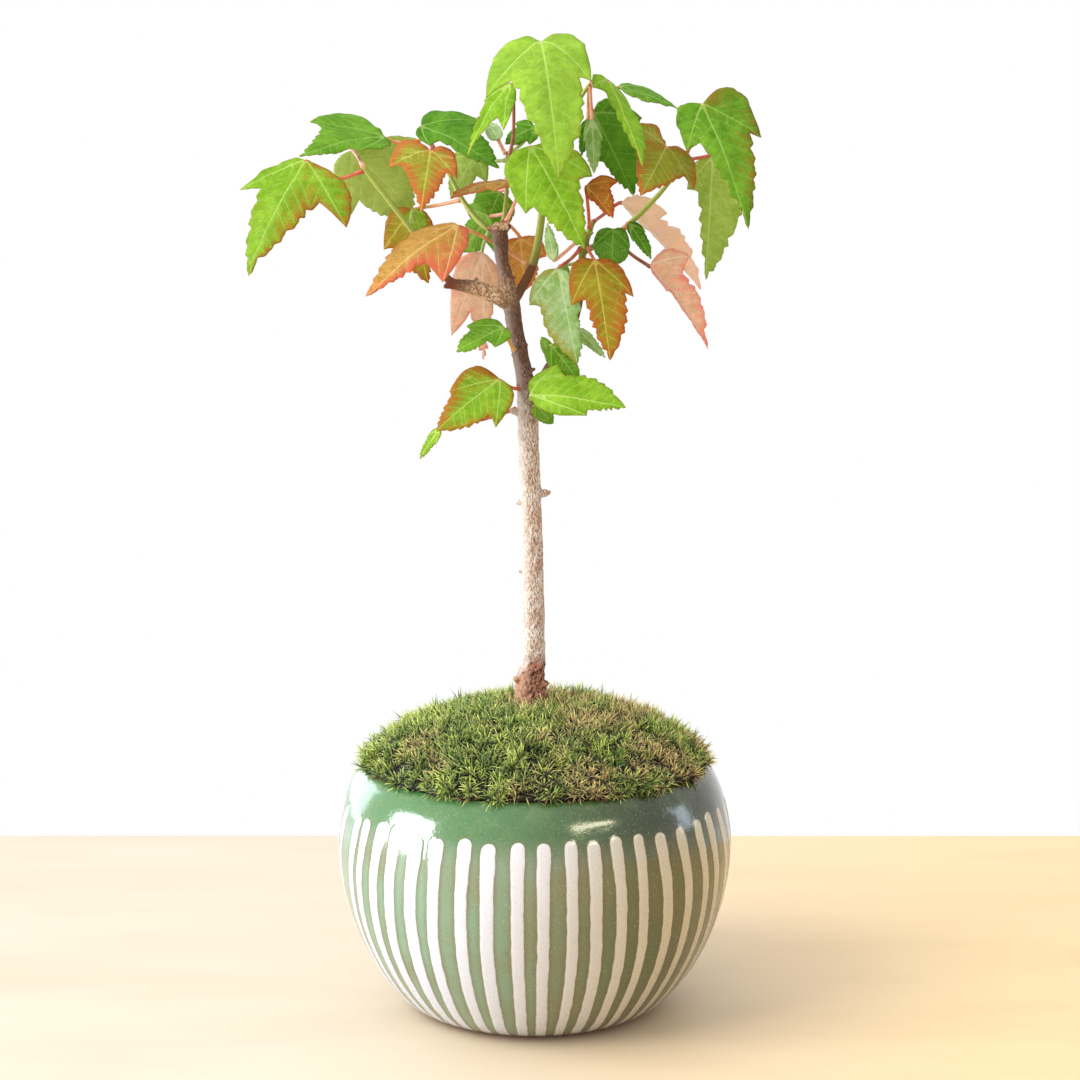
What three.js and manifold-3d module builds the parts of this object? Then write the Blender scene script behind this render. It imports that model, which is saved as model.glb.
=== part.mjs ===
// A young trident maple grown as a small bonsai, in a round glazed pot with a cushion of moss on its soil.
// Millimetres, +Z up. The origin is the centre of the pot's flat underside, and the front faces -Y.
import * as THREE from "three";
import { mergeVertices } from "three/addons/utils/BufferGeometryUtils.js";
import Module from "manifold-3d";

const wasm = await Module();
wasm.setup();

const CLEARANCE = 0.3; // between pieces that touch

// Pot: one thrown piece, widest a little above its middle, with its lip rolled inwards
const POT_RADIUS = 47.5;
const POT_WIDEST_AT = 40;
const POT_HEIGHT = 59.6;
const LIP_RADIUS = 40.3; // at the lip's highest line
const LIP_INNER_RADIUS = 38.2;
const FOOT_RADIUS = 25;
const WALL = 4;
const FLOOR = 5;
const LOWER_ROUNDNESS = 1.71; // exponents of the two superellipses that the outside follows
const UPPER_ROUNDNESS = 1.75;
const POT_SIDES = 40;
const DRAIN_HOLES = 3;
const DRAIN_HOLE_RADIUS = 3.5;
const DRAIN_HOLE_CIRCLE = 13;

// Drain net over the holes, under the soil
const NET_RADIUS = 19;
const NET_THICKNESS = 1;
const NET_MESH = 6.5; // centre to centre
const NET_OPENING = 4;
const NET_SIDES = 24;

// Soil, with a plain hole for the foot of the trunk
const SOIL_TOP = 56;
const ROOT_HOLE_FLOOR = 44.6;
const HOLE_SIDES = 20;

// Moss: a dome that spills over the lip, in soft tufts
const MOSS_RADIUS = 41;
const MOSS_HEIGHT = 15.6; // above the lip, before the tufts
const MOSS_FLATNESS = 2.6; // the dome's height is (1 - reach ^ flatness) ^ shoulder of the full height
const MOSS_SHOULDER = 0.9;
const MOSS_LEAN = 0.02; // rise towards +X
const MOSS_SIDES = 52;
const MOSS_RINGS = 11;
const TUFT_HEIGHT = 0.7;
const TUFT_SPACING = 8;

// Leaves
const BLADE_THICKNESS = 0.7;
const STALK_RADIUS = 0.5;
const STALK_SIDES = 4;
const STALK_STEPS = 4;
const STALK_START = 0.5; // from the bark to the middle of the stalk's end, which is narrowed
const STALK_START_RADIUS = 0.3;
const STALK_BEHIND = 0.15; // how far its middle lies behind the foot of the blade, as part of its length
const STALK_ROOT = 0.1; // where it ends inside the blade, along the midrib

const TONES = {
  fresh: "#93c443",
  green: "#6da53a",
  deep: "#3d7f2e",
  pale: "#a9c27a",
  flush: "#a98f3c",
  orange: "#d98a4e",
  gold: "#b39a3a",
  pink: "#e29b80",
  silver: "#b9cfae",
  rust: "#b5692c",
};

// Half outlines of a flat blade whose midrib runs from (0, 0) to (0, 1), each by four points on its
// margin: the middle of its shoulder, the tip of its side lobe, its notch and the middle of its belly.
// The teeth are those on the shoulder, beside the notch and on the belly.
const SHAPES = {
  broad: { half: [[0.275, 0.02], [0.46, 0.38], [0.22, 0.36], [0.215, 0.7]], teeth: [3, 1, 4] },
  trident: { half: [[0.28, 0.06], [0.37, 0.43], [0.22, 0.43], [0.205, 0.74]], teeth: [3, 1, 4] },
  slim: { half: [[0.15, 0.1], [0.2, 0.4], [0.165, 0.43], [0.13, 0.74]], teeth: [2, 0, 3] },
  oval: { half: [[0.228, 0.075], [0.31, 0.38], [0.305, 0.44], [0.226, 0.77]], teeth: [2, 0, 3] },
};
const TOOTH_DEPTH = 0.025; // of the midrib's length
const TOOTH_TIP = 0.62; // where a tooth's tip stands on its stretch of the margin
const MIDRIB_STATIONS = [0.25, 0.5, 0.75];
const SIDE_RIB_STATIONS = [1 / 3, 2 / 3];

// How a blade is bent, unless its own line says otherwise: its arch, fold and twist in degrees and its
// sideways curl. A half is either four points of its own or how wide it is against its shape's half.
const PLAIN_FORM = { arch: 20, fold: 0, twist: 0, curl: 0.2, left: 1, right: 1 };

// The grown wood. Each limb runs through its stations, [x, y, z, radius].
const TRUNK_FOOT = [-1, 0];
const TRUNK_FOOT_RADIUS = 3.9;
const ROOT_HOLE_RADIUS = TRUNK_FOOT_RADIUS + 0.4; // a plain hole through the moss and into the soil
const TRUNK_SIDES = 10;
const TWIG_SIDES = 6;
const LIMB_STEP = 7; // length of one step along a limb
const TRUNK = [
  [...TRUNK_FOOT, 45, TRUNK_FOOT_RADIUS],
  [...TRUNK_FOOT, 72, TRUNK_FOOT_RADIUS],
  [-1, 0, 77, 3.8],
  [-0.5, 0, 84.5, 3],
  [-0.5, 0, 100.5, 2.75],
  [-1, 0, 125.5, 2.5],
  [-1.5, 0, 140.5, 2.4],
  [-1.5, 0, 147, 2.7],
  [-2.5, 0, 153.5, 2],
  [-4.5, 0, 163.5, 1.9],
  [-5.5, 0, 170, 2.1],
  [-7.5, 0, 179.5, 1.5],
  [-8, 0, 184.5, 1.9],
  [-8.5, 0, 188, 1.9],
];
const TWIGS = {
  cutBranch: [
    [-5.5, 0, 169, 1.5],
    [-8, -1, 171, 1.9],
    [-14, -3, 173.5, 1.7],
    [-19.5, -6, 174.5, 1.2],
  ],
  left: [
    [-18, -5, 174, 1],
    [-21.5, -7, 177, 0.9],
    [-26.5, -9, 184.5, 0.7],
    [-39, -12, 201, 0.6],
  ],
  upper: [
    [-5.5, 0, 169, 1.2],
    [-0.5, 3, 178.5, 1.1],
    [1.5, 5, 188.5, 0.9],
    [3, 6, 205.5, 0.8],
    [3.5, 4, 221.5, 0.5],
  ],
  crown: [
    [3, 6, 204.5, 0.7],
    [9, 5, 215, 0.6],
    [13.5, 3, 221.5, 0.5],
  ],
  leftUpper: [
    [-8, 0, 186, 0.8],
    [-12, 1, 188, 0.7],
    [-17, 4, 194, 0.6],
    [-21, 7, 201.5, 0.5],
    [-25.5, 6, 209, 0.5],
  ],
  knobShoot: [
    [-7.5, 0, 186, 0.7],
    [-6.5, 3, 196, 0.5],
    [-6.5, 5, 204.5, 0.5],
  ],
  right: [
    [-1.5, 0, 146, 1.4],
    [3.5, -1, 155, 1.1],
    [5, 0, 157.5, 1],
    [10, 2, 167.5, 0.9],
    [11.5, 3, 182, 0.9],
    [13.5, 4, 188.5, 0.8],
  ],
  rightUpper: [
    [12, 3, 182, 0.8],
    [19.5, 4, 186, 0.7],
    [29.5, 2, 195.5, 0.6],
    [35, 1, 203, 0.5],
  ],
};

// Cut stubs, buds and burrs: where each grows from, which way it points, and its length and radius
const KNOTS = [
  { at: [-0.5, 0, 124.5], along: [1, 0, 0.15], length: 4.3, radius: 1.1 },
  { at: [-1.5, 0, 122.5], along: [-1, -0.3, 0.1], length: 3.2, radius: 0.9 },
  { at: [-1, 0, 106], along: [-1, -0.5, 0.2], length: 3.3, radius: 0.8 },
  { at: [-1.5, 0, 143.5], along: [-1, -0.2, 0.25], length: 4.4, radius: 1 },
  { at: [-1.5, 0, 145.5], along: [0.2, -1, 0.1], length: 3.2, radius: 1.3 },
  { at: [-2.5, 0, 153], along: [1, -0.6, 0.6], length: 3.4, radius: 0.8 },
  { at: [-3, 0, 156], along: [-1, -0.4, 0.8], length: 3.2, radius: 0.7 },
  { at: [-8, 0, 186.5], along: [0.7, -0.5, 0.5], length: 3, radius: 1.2 },
  { at: [-0.5, 0, 78.5], along: [1, -0.6, 0.2], length: 4.4, radius: 1.2 },
  { at: [-1, 0, 79.5], along: [-1, -0.5, 0.2], length: 4.5, radius: 1.1 },
  { at: [-0.5, 0, 82], along: [0.3, -1, 0.2], length: 3.8, radius: 0.9 },
  { at: [11.8, 3, 184], along: [-0.3, -0.5, 1], length: 2.6, radius: 0.6 },
];
const KNOT_STEPS = 2;

// Each leaf: its bud on the wood, the foot and the tip of its blade, and the way its face looks
const LEAVES = [
  {
    name: "leaf_left_1", shape: "broad", tone: "fresh", bud: [-39, -12, 200], base: [-51.5, -18, 202.5],
    tip: [-64.5, -22, 176.5], face: [-0.2, -0.8, 0.5], arch: 35, fold: -5, curl: 0.3, via: [-45.8, -13, 198.4],
    left: [[0.23, 0.1], [0.41, 0.41], [0.22, 0.34], [0.16, 0.68]],
    right: [[0.39, 0.03], [0.54, 0.33], [0.27, 0.25], [0.18, 0.56]],
  },
  {
    name: "leaf_left_2", shape: "broad", tone: "green", bud: [-25, 6, 208.5], base: [-35, 2, 208.5],
    tip: [-53.5, -14, 203.5], face: [0, -0.55, 0.8], curl: 0.05,
    left: [[0.52, -0.03], [0.5, 0.5], [0.31, 0.51], [0.14, 0.76]],
    right: [[0.2, 0.1], [0.22, 0.48], [0.14, 0.54], [0.12, 0.8]],
  },
  {
    name: "leaf_left_3", shape: "broad", tone: "pale", bud: [-39, -12, 201], base: [-43, 7, 205.5],
    tip: [-29, 17, 191.5], face: [-0.2, -1, 0.1],
    left: [[0.31, 0.03], [0.5, 0.53], [0.33, 0.46], [0.27, 0.81]],
    right: [[0.35, 0.14], [0.58, 0.44], [0.33, 0.53], [0.16, 0.82]],
  },
  {
    name: "leaf_left_4", shape: "trident", tone: "deep", bud: [-26, 6, 209], base: [-26.5, 2, 211],
    tip: [-8, -6, 201], face: [0.2, -0.8, 0.6], arch: 25, curl: 0.3,
    left: [[0.14, 0.04], [0.2, 0.26], [0.1, 0.32], [0.11, 0.71]],
    right: [[0.29, -0.03], [0.46, 0.45], [0.29, 0.46], [0.18, 0.75]],
  },
  {
    name: "leaf_left_5", shape: "broad", tone: "flush", bud: [-24, 6.5, 206.5], base: [-24, -5, 205],
    tip: [-25.5, -22, 190.5], face: [0.1, -0.7, 0.7], arch: 25, curl: 0.3,
    left: [[0.29, -0.22], [0.39, 0.34], [0.26, 0.34], [0.13, 0.67]],
    right: [[0.22, -0.08], [0.31, 0.41], [0.19, 0.37], [0.14, 0.69]],
  },
  {
    name: "leaf_left_6", shape: "broad", tone: "pale", bud: [-6.5, 5, 203], base: [-14, 13, 204.5],
    tip: [-20, 12, 194.5], face: [-0.1, -0.9, 0.4], left: 1.1, right: 1.1,
  },
  {
    name: "leaf_left_7", shape: "trident", tone: "orange", bud: [-6.5, 4, 199.5], base: [-6.5, 2, 198],
    tip: [-19.5, -6, 194], face: [0, -0.25, 1], left: 0.8, right: 0.8,
  },
  {
    name: "leaf_left_8", shape: "trident", tone: "orange", bud: [-1.5, 4, 178],
    base: [-17.5, -11.5, 188], tip: [-38, -23, 172], face: [-0.3, -0.8, 0.5], via: [-8, 4.5, 183],
    fold: -10,
    left: [[0.15, 0.07], [0.25, 0.33], [0.22, 0.38], [0.17, 0.67]],
    right: [[0.19, 0.05], [0.33, 0.47], [0.13, 0.46], [0.09, 0.71]],
  },
  {
    name: "leaf_left_9", shape: "broad", tone: "gold", bud: [-17, 4, 194], base: [-29, 10, 191.5],
    tip: [-25.5, 13, 174], face: [-0.3, -0.9, 0.3],
    left: [[0.32, -0.02], [0.51, 0.46], [0.37, 0.45], [0.2, 0.77]],
    right: [[0.2, 0.08], [0.28, 0.5], [0.16, 0.5], [0.1, 0.79]],
  },
  {
    name: "leaf_left_10", shape: "oval", tone: "fresh", bud: [-29, -9.5, 187.5],
    base: [-28.5, 2, 191.5], tip: [-26.5, 2, 186], face: [0, -0.9, 0.4], left: 1.3, right: 1.3,
  },
  {
    name: "leaf_mid_1", shape: "oval", tone: "green", bud: [-6.5, 3, 195.5], base: [-8.5, 20, 196],
    tip: [-12, 25, 187], face: [0, -0.9, 0.4], left: 1.6, right: 1.6,
  },
  {
    name: "leaf_mid_2", shape: "broad", tone: "green", bud: [-7, 2, 191], base: [-11, 17, 190],
    tip: [-17.5, 25, 181.5], face: [-0.2, -0.9, 0.3], left: 1.2, right: 1.2,
  },
  {
    name: "leaf_mid_3", shape: "broad", tone: "pink", bud: [-11, 2, 185], base: [-12.5, 9, 181.5],
    tip: [-12.5, 18, 155.5], face: [0.1, -0.95, 0.2], arch: 15,
    left: [[0.24, 0.13], [0.28, 0.75], [0.11, 0.53], [0.08, 0.78]],
    right: [[0.13, 0.14], [0.15, 0.43], [0.09, 0.47], [0.06, 0.81]],
  },
  {
    name: "leaf_mid_4", shape: "trident", tone: "orange", bud: [-7, 4, 188], base: [-3.5, 13, 185],
    tip: [-2.5, 23, 172], face: [0.1, -0.95, 0.2],
  },
  {
    name: "leaf_low_1", shape: "trident", tone: "green", bud: [-2, -1, 157.5], base: [-7, -8, 164.5],
    tip: [-18, -12, 159], face: [0.1, -0.8, 0.6], curl: 0.3,
    left: [[0.31, 0.13], [0.37, 0.57], [0.23, 0.57], [0.17, 0.82]],
    right: [[0.23, -0.01], [0.27, 0.36], [0.1, 0.43], [0.15, 0.74]],
  },
  {
    name: "leaf_low_2", shape: "broad", tone: "fresh", bud: [-4.5, -2, 149.5], base: [-8, -8, 152.5],
    tip: [-22.5, -16, 141], face: [-0.1, -0.8, 0.6], arch: 25, curl: 0.3,
    left: [[0.37, 0.09], [0.27, 0.54], [0.2, 0.6], [0.12, 0.83]],
    right: [[0.3, 0.06], [0.44, 0.49], [0.3, 0.44], [0.22, 0.75]],
  },
  {
    name: "leaf_low_3", shape: "slim", tone: "fresh", bud: [-4.5, 2, 145.5], base: [-22, -8, 141],
    tip: [-27, -6, 133.5], face: [-0.2, -0.9, 0.3], left: 0.8, right: 0.8,
  },
  {
    name: "leaf_low_4", shape: "trident", tone: "fresh", bud: [-2, -2, 147.5], base: [-1, -9.5, 149],
    tip: [21, -17, 146.5], face: [0, -0.9, 0.45], arch: 30, fold: -10, curl: 0.3,
    left: [[0.17, 0.22], [0.15, 0.64], [0.09, 0.65], [0.07, 0.84]],
    right: [[0.24, -0.06], [0.42, 0.15], [0.25, 0.31], [0.26, 0.65]],
  },
  {
    name: "leaf_low_5", shape: "oval", tone: "green", bud: [4, -0.5, 155.5], base: [3.6, -1.6, 157.6],
    tip: [1.6, -1, 162], face: [0, -1, 0.1], left: 1.1, right: 0.8,
  },
  {
    name: "leaf_low_6", shape: "trident", tone: "green", bud: [6, 0.4, 159.8], base: [4, -2.8, 160],
    tip: [10.5, -2, 151.5], face: [0, -0.9, 0.3], left: 0.9, right: 0.9, via: [5, -1.2, 160.1],
  },
  {
    name: "leaf_low_7", shape: "oval", tone: "green", bud: [-1.5, -2, 145], base: [0.2, -4.4, 146.2],
    tip: [4.4, -5, 141.8], face: [0, -0.9, 0.3], left: 1.1, right: 1.1,
  },
  {
    name: "leaf_low_8", shape: "slim", tone: "silver", bud: [9, 4, 163.5], base: [10, 6, 163.5],
    tip: [17, 8, 156.5], face: [0.2, -0.9, 0.3], left: 0.8, right: 0.8,
  },
  {
    name: "leaf_right_1", shape: "trident", tone: "silver", bud: [12.5, 4, 184], base: [5.5, -4, 178],
    tip: [10, -8, 156], face: [-0.1, -0.95, 0.2],
    left: [[0.24, 0.05], [0.36, 0.31], [0.25, 0.36], [0.22, 0.68]],
    right: [[0.13, 0.14], [0.15, 0.48], [0.1, 0.54], [0.1, 0.8]],
  },
  {
    name: "leaf_right_2", shape: "slim", tone: "silver", bud: [12.8, 3.5, 187], base: [4.5, -6.5, 180],
    tip: [3, -4, 188.5], face: [-0.1, -0.95, 0.2], left: 0.9, right: 0.9,
  },
  {
    name: "leaf_right_3", shape: "trident", tone: "gold", bud: [13.5, 3, 183.5], base: [14, -4, 180],
    tip: [17.5, -12, 157], face: [0.1, -0.95, 0.25], via: [12.6, -0.5, 182.5],
    left: [[0.22, 0.03], [0.29, 0.43], [0.15, 0.4], [0.12, 0.7]],
    right: [[0.23, 0.07], [0.31, 0.41], [0.23, 0.37], [0.2, 0.69]],
  },
  {
    name: "leaf_right_4", shape: "oval", tone: "green", bud: [9, 3, 179.5], base: [6, 2, 178.5],
    tip: [8, 2, 175.5], face: [0, -1, 0.1], left: 1.3, right: 1.3,
  },
  {
    name: "leaf_right_5", shape: "oval", tone: "deep", bud: [19.5, 4, 185.5], base: [18.5, 1, 187],
    tip: [18, -1, 179], face: [0, -0.9, 0.4],
    left: [[0.4, 0.03], [0.55, 0.52], [0.5, 0.66], [0.3, 0.92]],
    right: [[0.33, -0.01], [0.5, 0.48], [0.48, 0.63], [0.33, 0.93]],
  },
  {
    name: "leaf_right_6", shape: "slim", tone: "deep", bud: [21, 4, 187.5], base: [22, 0, 188.5],
    tip: [27.5, 2, 180], face: [0.2, -0.9, 0.3], left: 0.8, right: 1.2,
  },
  {
    name: "leaf_right_7", shape: "broad", tone: "pink", bud: [20, 4, 185], base: [27.5, 9, 178.5],
    tip: [42.5, 19, 158], face: [0.5, -0.8, 0.4], fold: 35, curl: 0.1,
    left: [[0.11, 0.05], [0.13, 0.24], [0.09, 0.29], [0.1, 0.6]],
    right: [[0.22, 0], [0.33, 0.19], [0.17, 0.26], [0.16, 0.56]],
  },
  {
    name: "leaf_right_8", shape: "broad", tone: "pink", bud: [12, 6, 193], base: [21, 15, 193.5],
    tip: [41, 26, 172], face: [0.5, -0.8, 0.4], fold: 35, curl: 0.1,
    left: [[0.11, 0.05], [0.13, 0.24], [0.09, 0.29], [0.1, 0.58]],
    right: [[0.14, 0.08], [0.18, 0.33], [0.11, 0.32], [0.15, 0.6]],
  },
  {
    name: "leaf_right_9", shape: "broad", tone: "flush", bud: [34.5, 2, 201.5], base: [30.5, -4, 206],
    tip: [24, -18, 194.5], face: [0.35, -0.7, 0.55], fold: -5,
    left: [[0.24, -0.38], [0.44, -0.15], [0.31, 0.32], [0.14, 0.8]],
    right: [[0.33, -0.2], [0.54, 0.32], [0.35, 0.28], [0.2, 0.66]],
  },
  {
    name: "leaf_right_10", shape: "broad", tone: "green", bud: [35, 1, 203], base: [38.5, -8, 215.5],
    tip: [48.5, -18, 187], face: [0.1, -0.9, 0.4], arch: 35, fold: -5, curl: 0.4,
    left: [[0.19, -0.02], [0.24, 0.33], [0.13, 0.3], [0.07, 0.65]],
    right: [[0.31, -0.1], [0.33, 0.35], [0.25, 0.31], [0.17, 0.66]],
  },
  {
    name: "leaf_right_11", shape: "slim", tone: "pale", bud: [35.5, 1, 203], base: [42, 5, 204],
    tip: [41, 12, 175], face: [0, -1, 0.1], arch: 15,
    left: [[0.14, 0.05], [0.19, 0.27], [0.1, 0.29], [0.07, 0.62]],
    right: [[0.18, 0.08], [0.26, 0.46], [0.23, 0.51], [0.13, 0.79]],
  },
  {
    name: "leaf_top_1", shape: "trident", tone: "fresh", bud: [-6.5, 5, 201.5], base: [-5.5, -2, 220.5],
    tip: [-15.5, -10, 203.5], face: [-0.4, -0.6, 0.7], arch: 30, fold: 15,
    left: [[0.11, 0.08], [0.12, 0.34], [0.08, 0.4], [0.07, 0.7]],
    right: [[0.36, 0.3], [0.44, 0.68], [0.23, 0.53], [0.1, 0.72]],
  },
  {
    name: "leaf_top_2", shape: "broad", tone: "fresh", bud: [3, 4, 221.5], base: [1.5, -8, 229.5],
    tip: [5.5, -26, 198], face: [0, -0.75, 0.65], arch: 60, curl: 0.5,
    left: [[0.24, -0.02], [0.37, 0.4], [0.21, 0.33], [0.14, 0.65]],
    right: [[0.22, -0.02], [0.26, 0.37], [0.19, 0.35], [0.17, 0.69]],
  },
  {
    name: "leaf_top_3", shape: "slim", tone: "fresh", bud: [13, 2, 221], base: [17, -6, 221],
    tip: [24.5, -16, 201], face: [0.4, -0.8, 0.5], fold: -20, twist: 30,
    left: [[0.11, -0.1], [0.18, 0.05], [0.1, 0.17], [0.07, 0.57]],
    right: [[0.15, 0.05], [0.21, 0.26], [0.18, 0.3], [0.18, 0.66]],
  },
  {
    name: "leaf_top_4", shape: "slim", tone: "green", bud: [13, 2, 221], base: [19.5, 1, 220],
    tip: [33.5, 6, 215], face: [0.2, -0.45, 0.95],
    left: [[0.2, 0.05], [0.28, 0.2], [0.26, 0.25], [0.24, 0.56]],
    right: [[0.2, 0.2], [0.34, 0.6], [0.31, 0.64], [0.18, 0.87]],
  },
  {
    name: "leaf_top_5", shape: "broad", tone: "deep", bud: [13, 4, 220.5], base: [14, 12, 214.5],
    tip: [24, 20, 195], face: [0, -0.95, 0.3],
    left: [[0.16, 0.12], [0.22, 0.46], [0.14, 0.5], [0.1, 0.76]],
    right: [[0.22, -0.04], [0.43, 0.31], [0.33, 0.38], [0.21, 0.74]],
  },
  {
    name: "leaf_top_6", shape: "slim", tone: "silver", bud: [13, 3, 220.5], base: [13.5, 2, 212.5],
    tip: [14, 4, 200], face: [0, -0.95, 0.3], left: 0.9, right: 0.9,
  },
  {
    name: "leaf_top_7", shape: "slim", tone: "deep", bud: [13, 4, 220.5], base: [12.5, 4.5, 212.5],
    tip: [11, 5.5, 204], face: [0, -0.95, 0.3], left: 0.9, right: 0.9,
  },
  {
    name: "leaf_top_8", shape: "trident", tone: "fresh", bud: [-5.5, -1, 187.5], base: [-1, -8, 206],
    tip: [11.5, -18, 182.5], face: [0, -0.85, 0.5], arch: 30, curl: 0.3,
    left: [[0.27, 0.08], [0.3, 0.54], [0.22, 0.52], [0.13, 0.81]],
    right: [[0.29, 0.18], [0.33, 0.46], [0.21, 0.46], [0.12, 0.75]],
  },
  {
    name: "leaf_top_9", shape: "trident", tone: "deep", bud: [-6.5, 6, 205.5], base: [0, 9, 211],
    tip: [-7, 8, 207], face: [0, -0.8, 0.6], left: 1.2, right: 1.2,
  },
  {
    name: "leaf_top_10", shape: "trident", tone: "rust", bud: [14, 4, 186.5], base: [12, -8, 197],
    tip: [18, -12, 189.5], face: [0, -0.85, 0.5],
    left: [[0.13, 0.1], [0.16, 0.4], [0.11, 0.45], [0.1, 0.78]],
    right: [[0.44, -0.05], [0.66, 0.29], [0.37, 0.37], [0.26, 0.7]],
  },
  {
    name: "leaf_top_11", shape: "oval", tone: "silver", bud: [-7.5, 5, 204], base: [-8.5, 5, 208],
    tip: [-11, 8, 212], face: [0, -0.9, 0.3], left: 1.1, right: 1.1,
  },
];

const vector = (numbers) => new THREE.Vector3(...numbers);
const flat = (numbers) => new THREE.Vector2(...numbers);

// Solid from a closed geometry, for joins and cuts, and back again
function toSolid(geometry) {
  const bare = new THREE.BufferGeometry();
  bare.setAttribute("position", geometry.getAttribute("position"));
  bare.setIndex(geometry.getIndex());
  const merged = mergeVertices(bare, 1e-3);
  const vertProperties = Float32Array.from(merged.getAttribute("position").array);
  const triVerts = Uint32Array.from(merged.getIndex().array);
  return new wasm.Manifold(new wasm.Mesh({ numProp: 3, vertProperties, triVerts }));
}

function toGeometry(solid) {
  const { vertProperties, triVerts } = solid.getMesh();
  const geometry = new THREE.BufferGeometry();
  geometry.setAttribute("position", new THREE.BufferAttribute(vertProperties, 3));
  geometry.setIndex(new THREE.BufferAttribute(triVerts, 1));
  geometry.computeVertexNormals();
  return geometry;
}

function piece(name, geometry, color, roughness) {
  const material = new THREE.MeshStandardMaterial({ color, roughness, metalness: 0 });
  const mesh = new THREE.Mesh(geometry, material);
  mesh.name = name;
  return mesh;
}

// A turned solid that stands upright, from its half section
function turned(section, sides) {
  return new THREE.LatheGeometry(section.map(flat), sides).rotateX(Math.PI / 2);
}

function post([x, y], radius, bottom, top, sides) {
  const rod = new THREE.CylinderGeometry(radius, radius, top - bottom, sides).rotateX(Math.PI / 2);
  return rod.translate(x, y, (bottom + top) / 2);
}

// ---- Pot, drain net, soil and moss ----

const OUTSIDE = { bottom: 0, foot: FOOT_RADIUS, widest: POT_RADIUS, lip: LIP_RADIUS, top: POT_HEIGHT };
const INSIDE = {
  bottom: FLOOR,
  foot: FOOT_RADIUS - 1,
  widest: POT_RADIUS - WALL,
  lip: LIP_INNER_RADIUS,
  top: POT_HEIGHT - 2,
};
const LOWER_STEPS = 7;
const UPPER_STEPS = 4;

// Half section of a bellied surface from its foot up to its lip, as two quarter superellipses
function belly(surface, gap = 0) {
  const foot = surface.foot - gap;
  const widest = surface.widest - gap;
  const lip = surface.lip - gap;
  const bottom = surface.bottom + gap;
  const points = [];
  for (let i = 0; i <= LOWER_STEPS; i += 1) {
    const angle = (Math.PI / 2) * (i / LOWER_STEPS);
    const radius = foot + (widest - foot) * Math.sin(angle) ** (2 / LOWER_ROUNDNESS);
    const height = POT_WIDEST_AT - (POT_WIDEST_AT - bottom) * Math.cos(angle) ** (2 / LOWER_ROUNDNESS);
    points.push([radius, height]);
  }
  for (let i = 1; i <= UPPER_STEPS; i += 1) {
    const angle = (Math.PI / 2) * (i / UPPER_STEPS);
    const radius = lip + (widest - lip) * Math.cos(angle) ** (2 / UPPER_ROUNDNESS);
    const height = POT_WIDEST_AT + (surface.top - POT_WIDEST_AT) * Math.sin(angle) ** (2 / UPPER_ROUNDNESS);
    points.push([radius, height]);
  }
  return points;
}

function makePot() {
  const lip = [
    [LIP_RADIUS - 1.1, POT_HEIGHT - 0.2],
    [LIP_INNER_RADIUS + 0.2, POT_HEIGHT - 1],
  ];
  const section = [[0, 0], ...belly(OUTSIDE), ...lip, ...belly(INSIDE).reverse(), [0, FLOOR]];
  let pot = toSolid(turned(section, POT_SIDES));
  for (let i = 0; i < DRAIN_HOLES; i += 1) {
    const angle = (2 * Math.PI * (i + 0.25)) / DRAIN_HOLES;
    const centre = [DRAIN_HOLE_CIRCLE * Math.cos(angle), DRAIN_HOLE_CIRCLE * Math.sin(angle)];
    pot = pot.subtract(toSolid(post(centre, DRAIN_HOLE_RADIUS, -1, FLOOR + 1, 16)));
  }
  return piece("pot", toGeometry(pot), "#76804f", 0.25);
}

const NET_BOTTOM = FLOOR + CLEARANCE;

function makeDrainNet() {
  let net = toSolid(post([0, 0], NET_RADIUS, NET_BOTTOM, NET_BOTTOM + NET_THICKNESS, NET_SIDES));
  for (let column = -2; column <= 2; column += 1) {
    for (let row = -2; row <= 2; row += 1) {
      const [x, y] = [column * NET_MESH, row * NET_MESH];
      if (Math.hypot(x, y) < NET_RADIUS - NET_OPENING) {
        const opening = new THREE.BoxGeometry(NET_OPENING, NET_OPENING, 4 * NET_THICKNESS);
        net = net.subtract(toSolid(opening.translate(x, y, NET_BOTTOM)));
      }
    }
  }
  return piece("drain_net", toGeometry(net), "#2c2f2c", 0.6);
}

function makeSoil() {
  const wall = belly(INSIDE, CLEARANCE);
  const below = wall.filter(([, height]) => height < SOIL_TOP - 1);
  const [outer, inner] = [below.at(-1), wall[below.length]];
  const share = (SOIL_TOP - outer[1]) / (inner[1] - outer[1]);
  const rim = [outer[0] + share * (inner[0] - outer[0]), SOIL_TOP];
  const overNet = NET_BOTTOM + NET_THICKNESS + CLEARANCE;
  const recess = [[0, overNet], [NET_RADIUS + CLEARANCE, overNet], [NET_RADIUS + CLEARANCE, NET_BOTTOM]];
  const body = toSolid(turned([...recess, ...below, rim, [0, SOIL_TOP]], POT_SIDES));
  const hole = toSolid(post(TRUNK_FOOT, ROOT_HOLE_RADIUS, ROOT_HOLE_FLOOR, SOIL_TOP + 1, HOLE_SIDES));
  return piece("soil", toGeometry(body.subtract(hole)), "#5b4030", 0.95);
}

// Height of the moss dome above the lip: a flattened dome that leans a little to the right
function mossDome(x, y) {
  const reach = Math.min(1, Math.hypot(x, y) / MOSS_RADIUS);
  const dome = MOSS_HEIGHT * (1 - reach ** MOSS_FLATNESS) ** MOSS_SHOULDER;
  const wave = (2 * Math.PI) / TUFT_SPACING;
  const tufts = Math.sin(wave * x + 1.7 * Math.sin(0.31 * y)) * Math.sin(wave * y + 1.9 * Math.sin(0.27 * x));
  return dome + (1 - reach ** 4) * (TUFT_HEIGHT * tufts + MOSS_LEAN * x);
}

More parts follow.
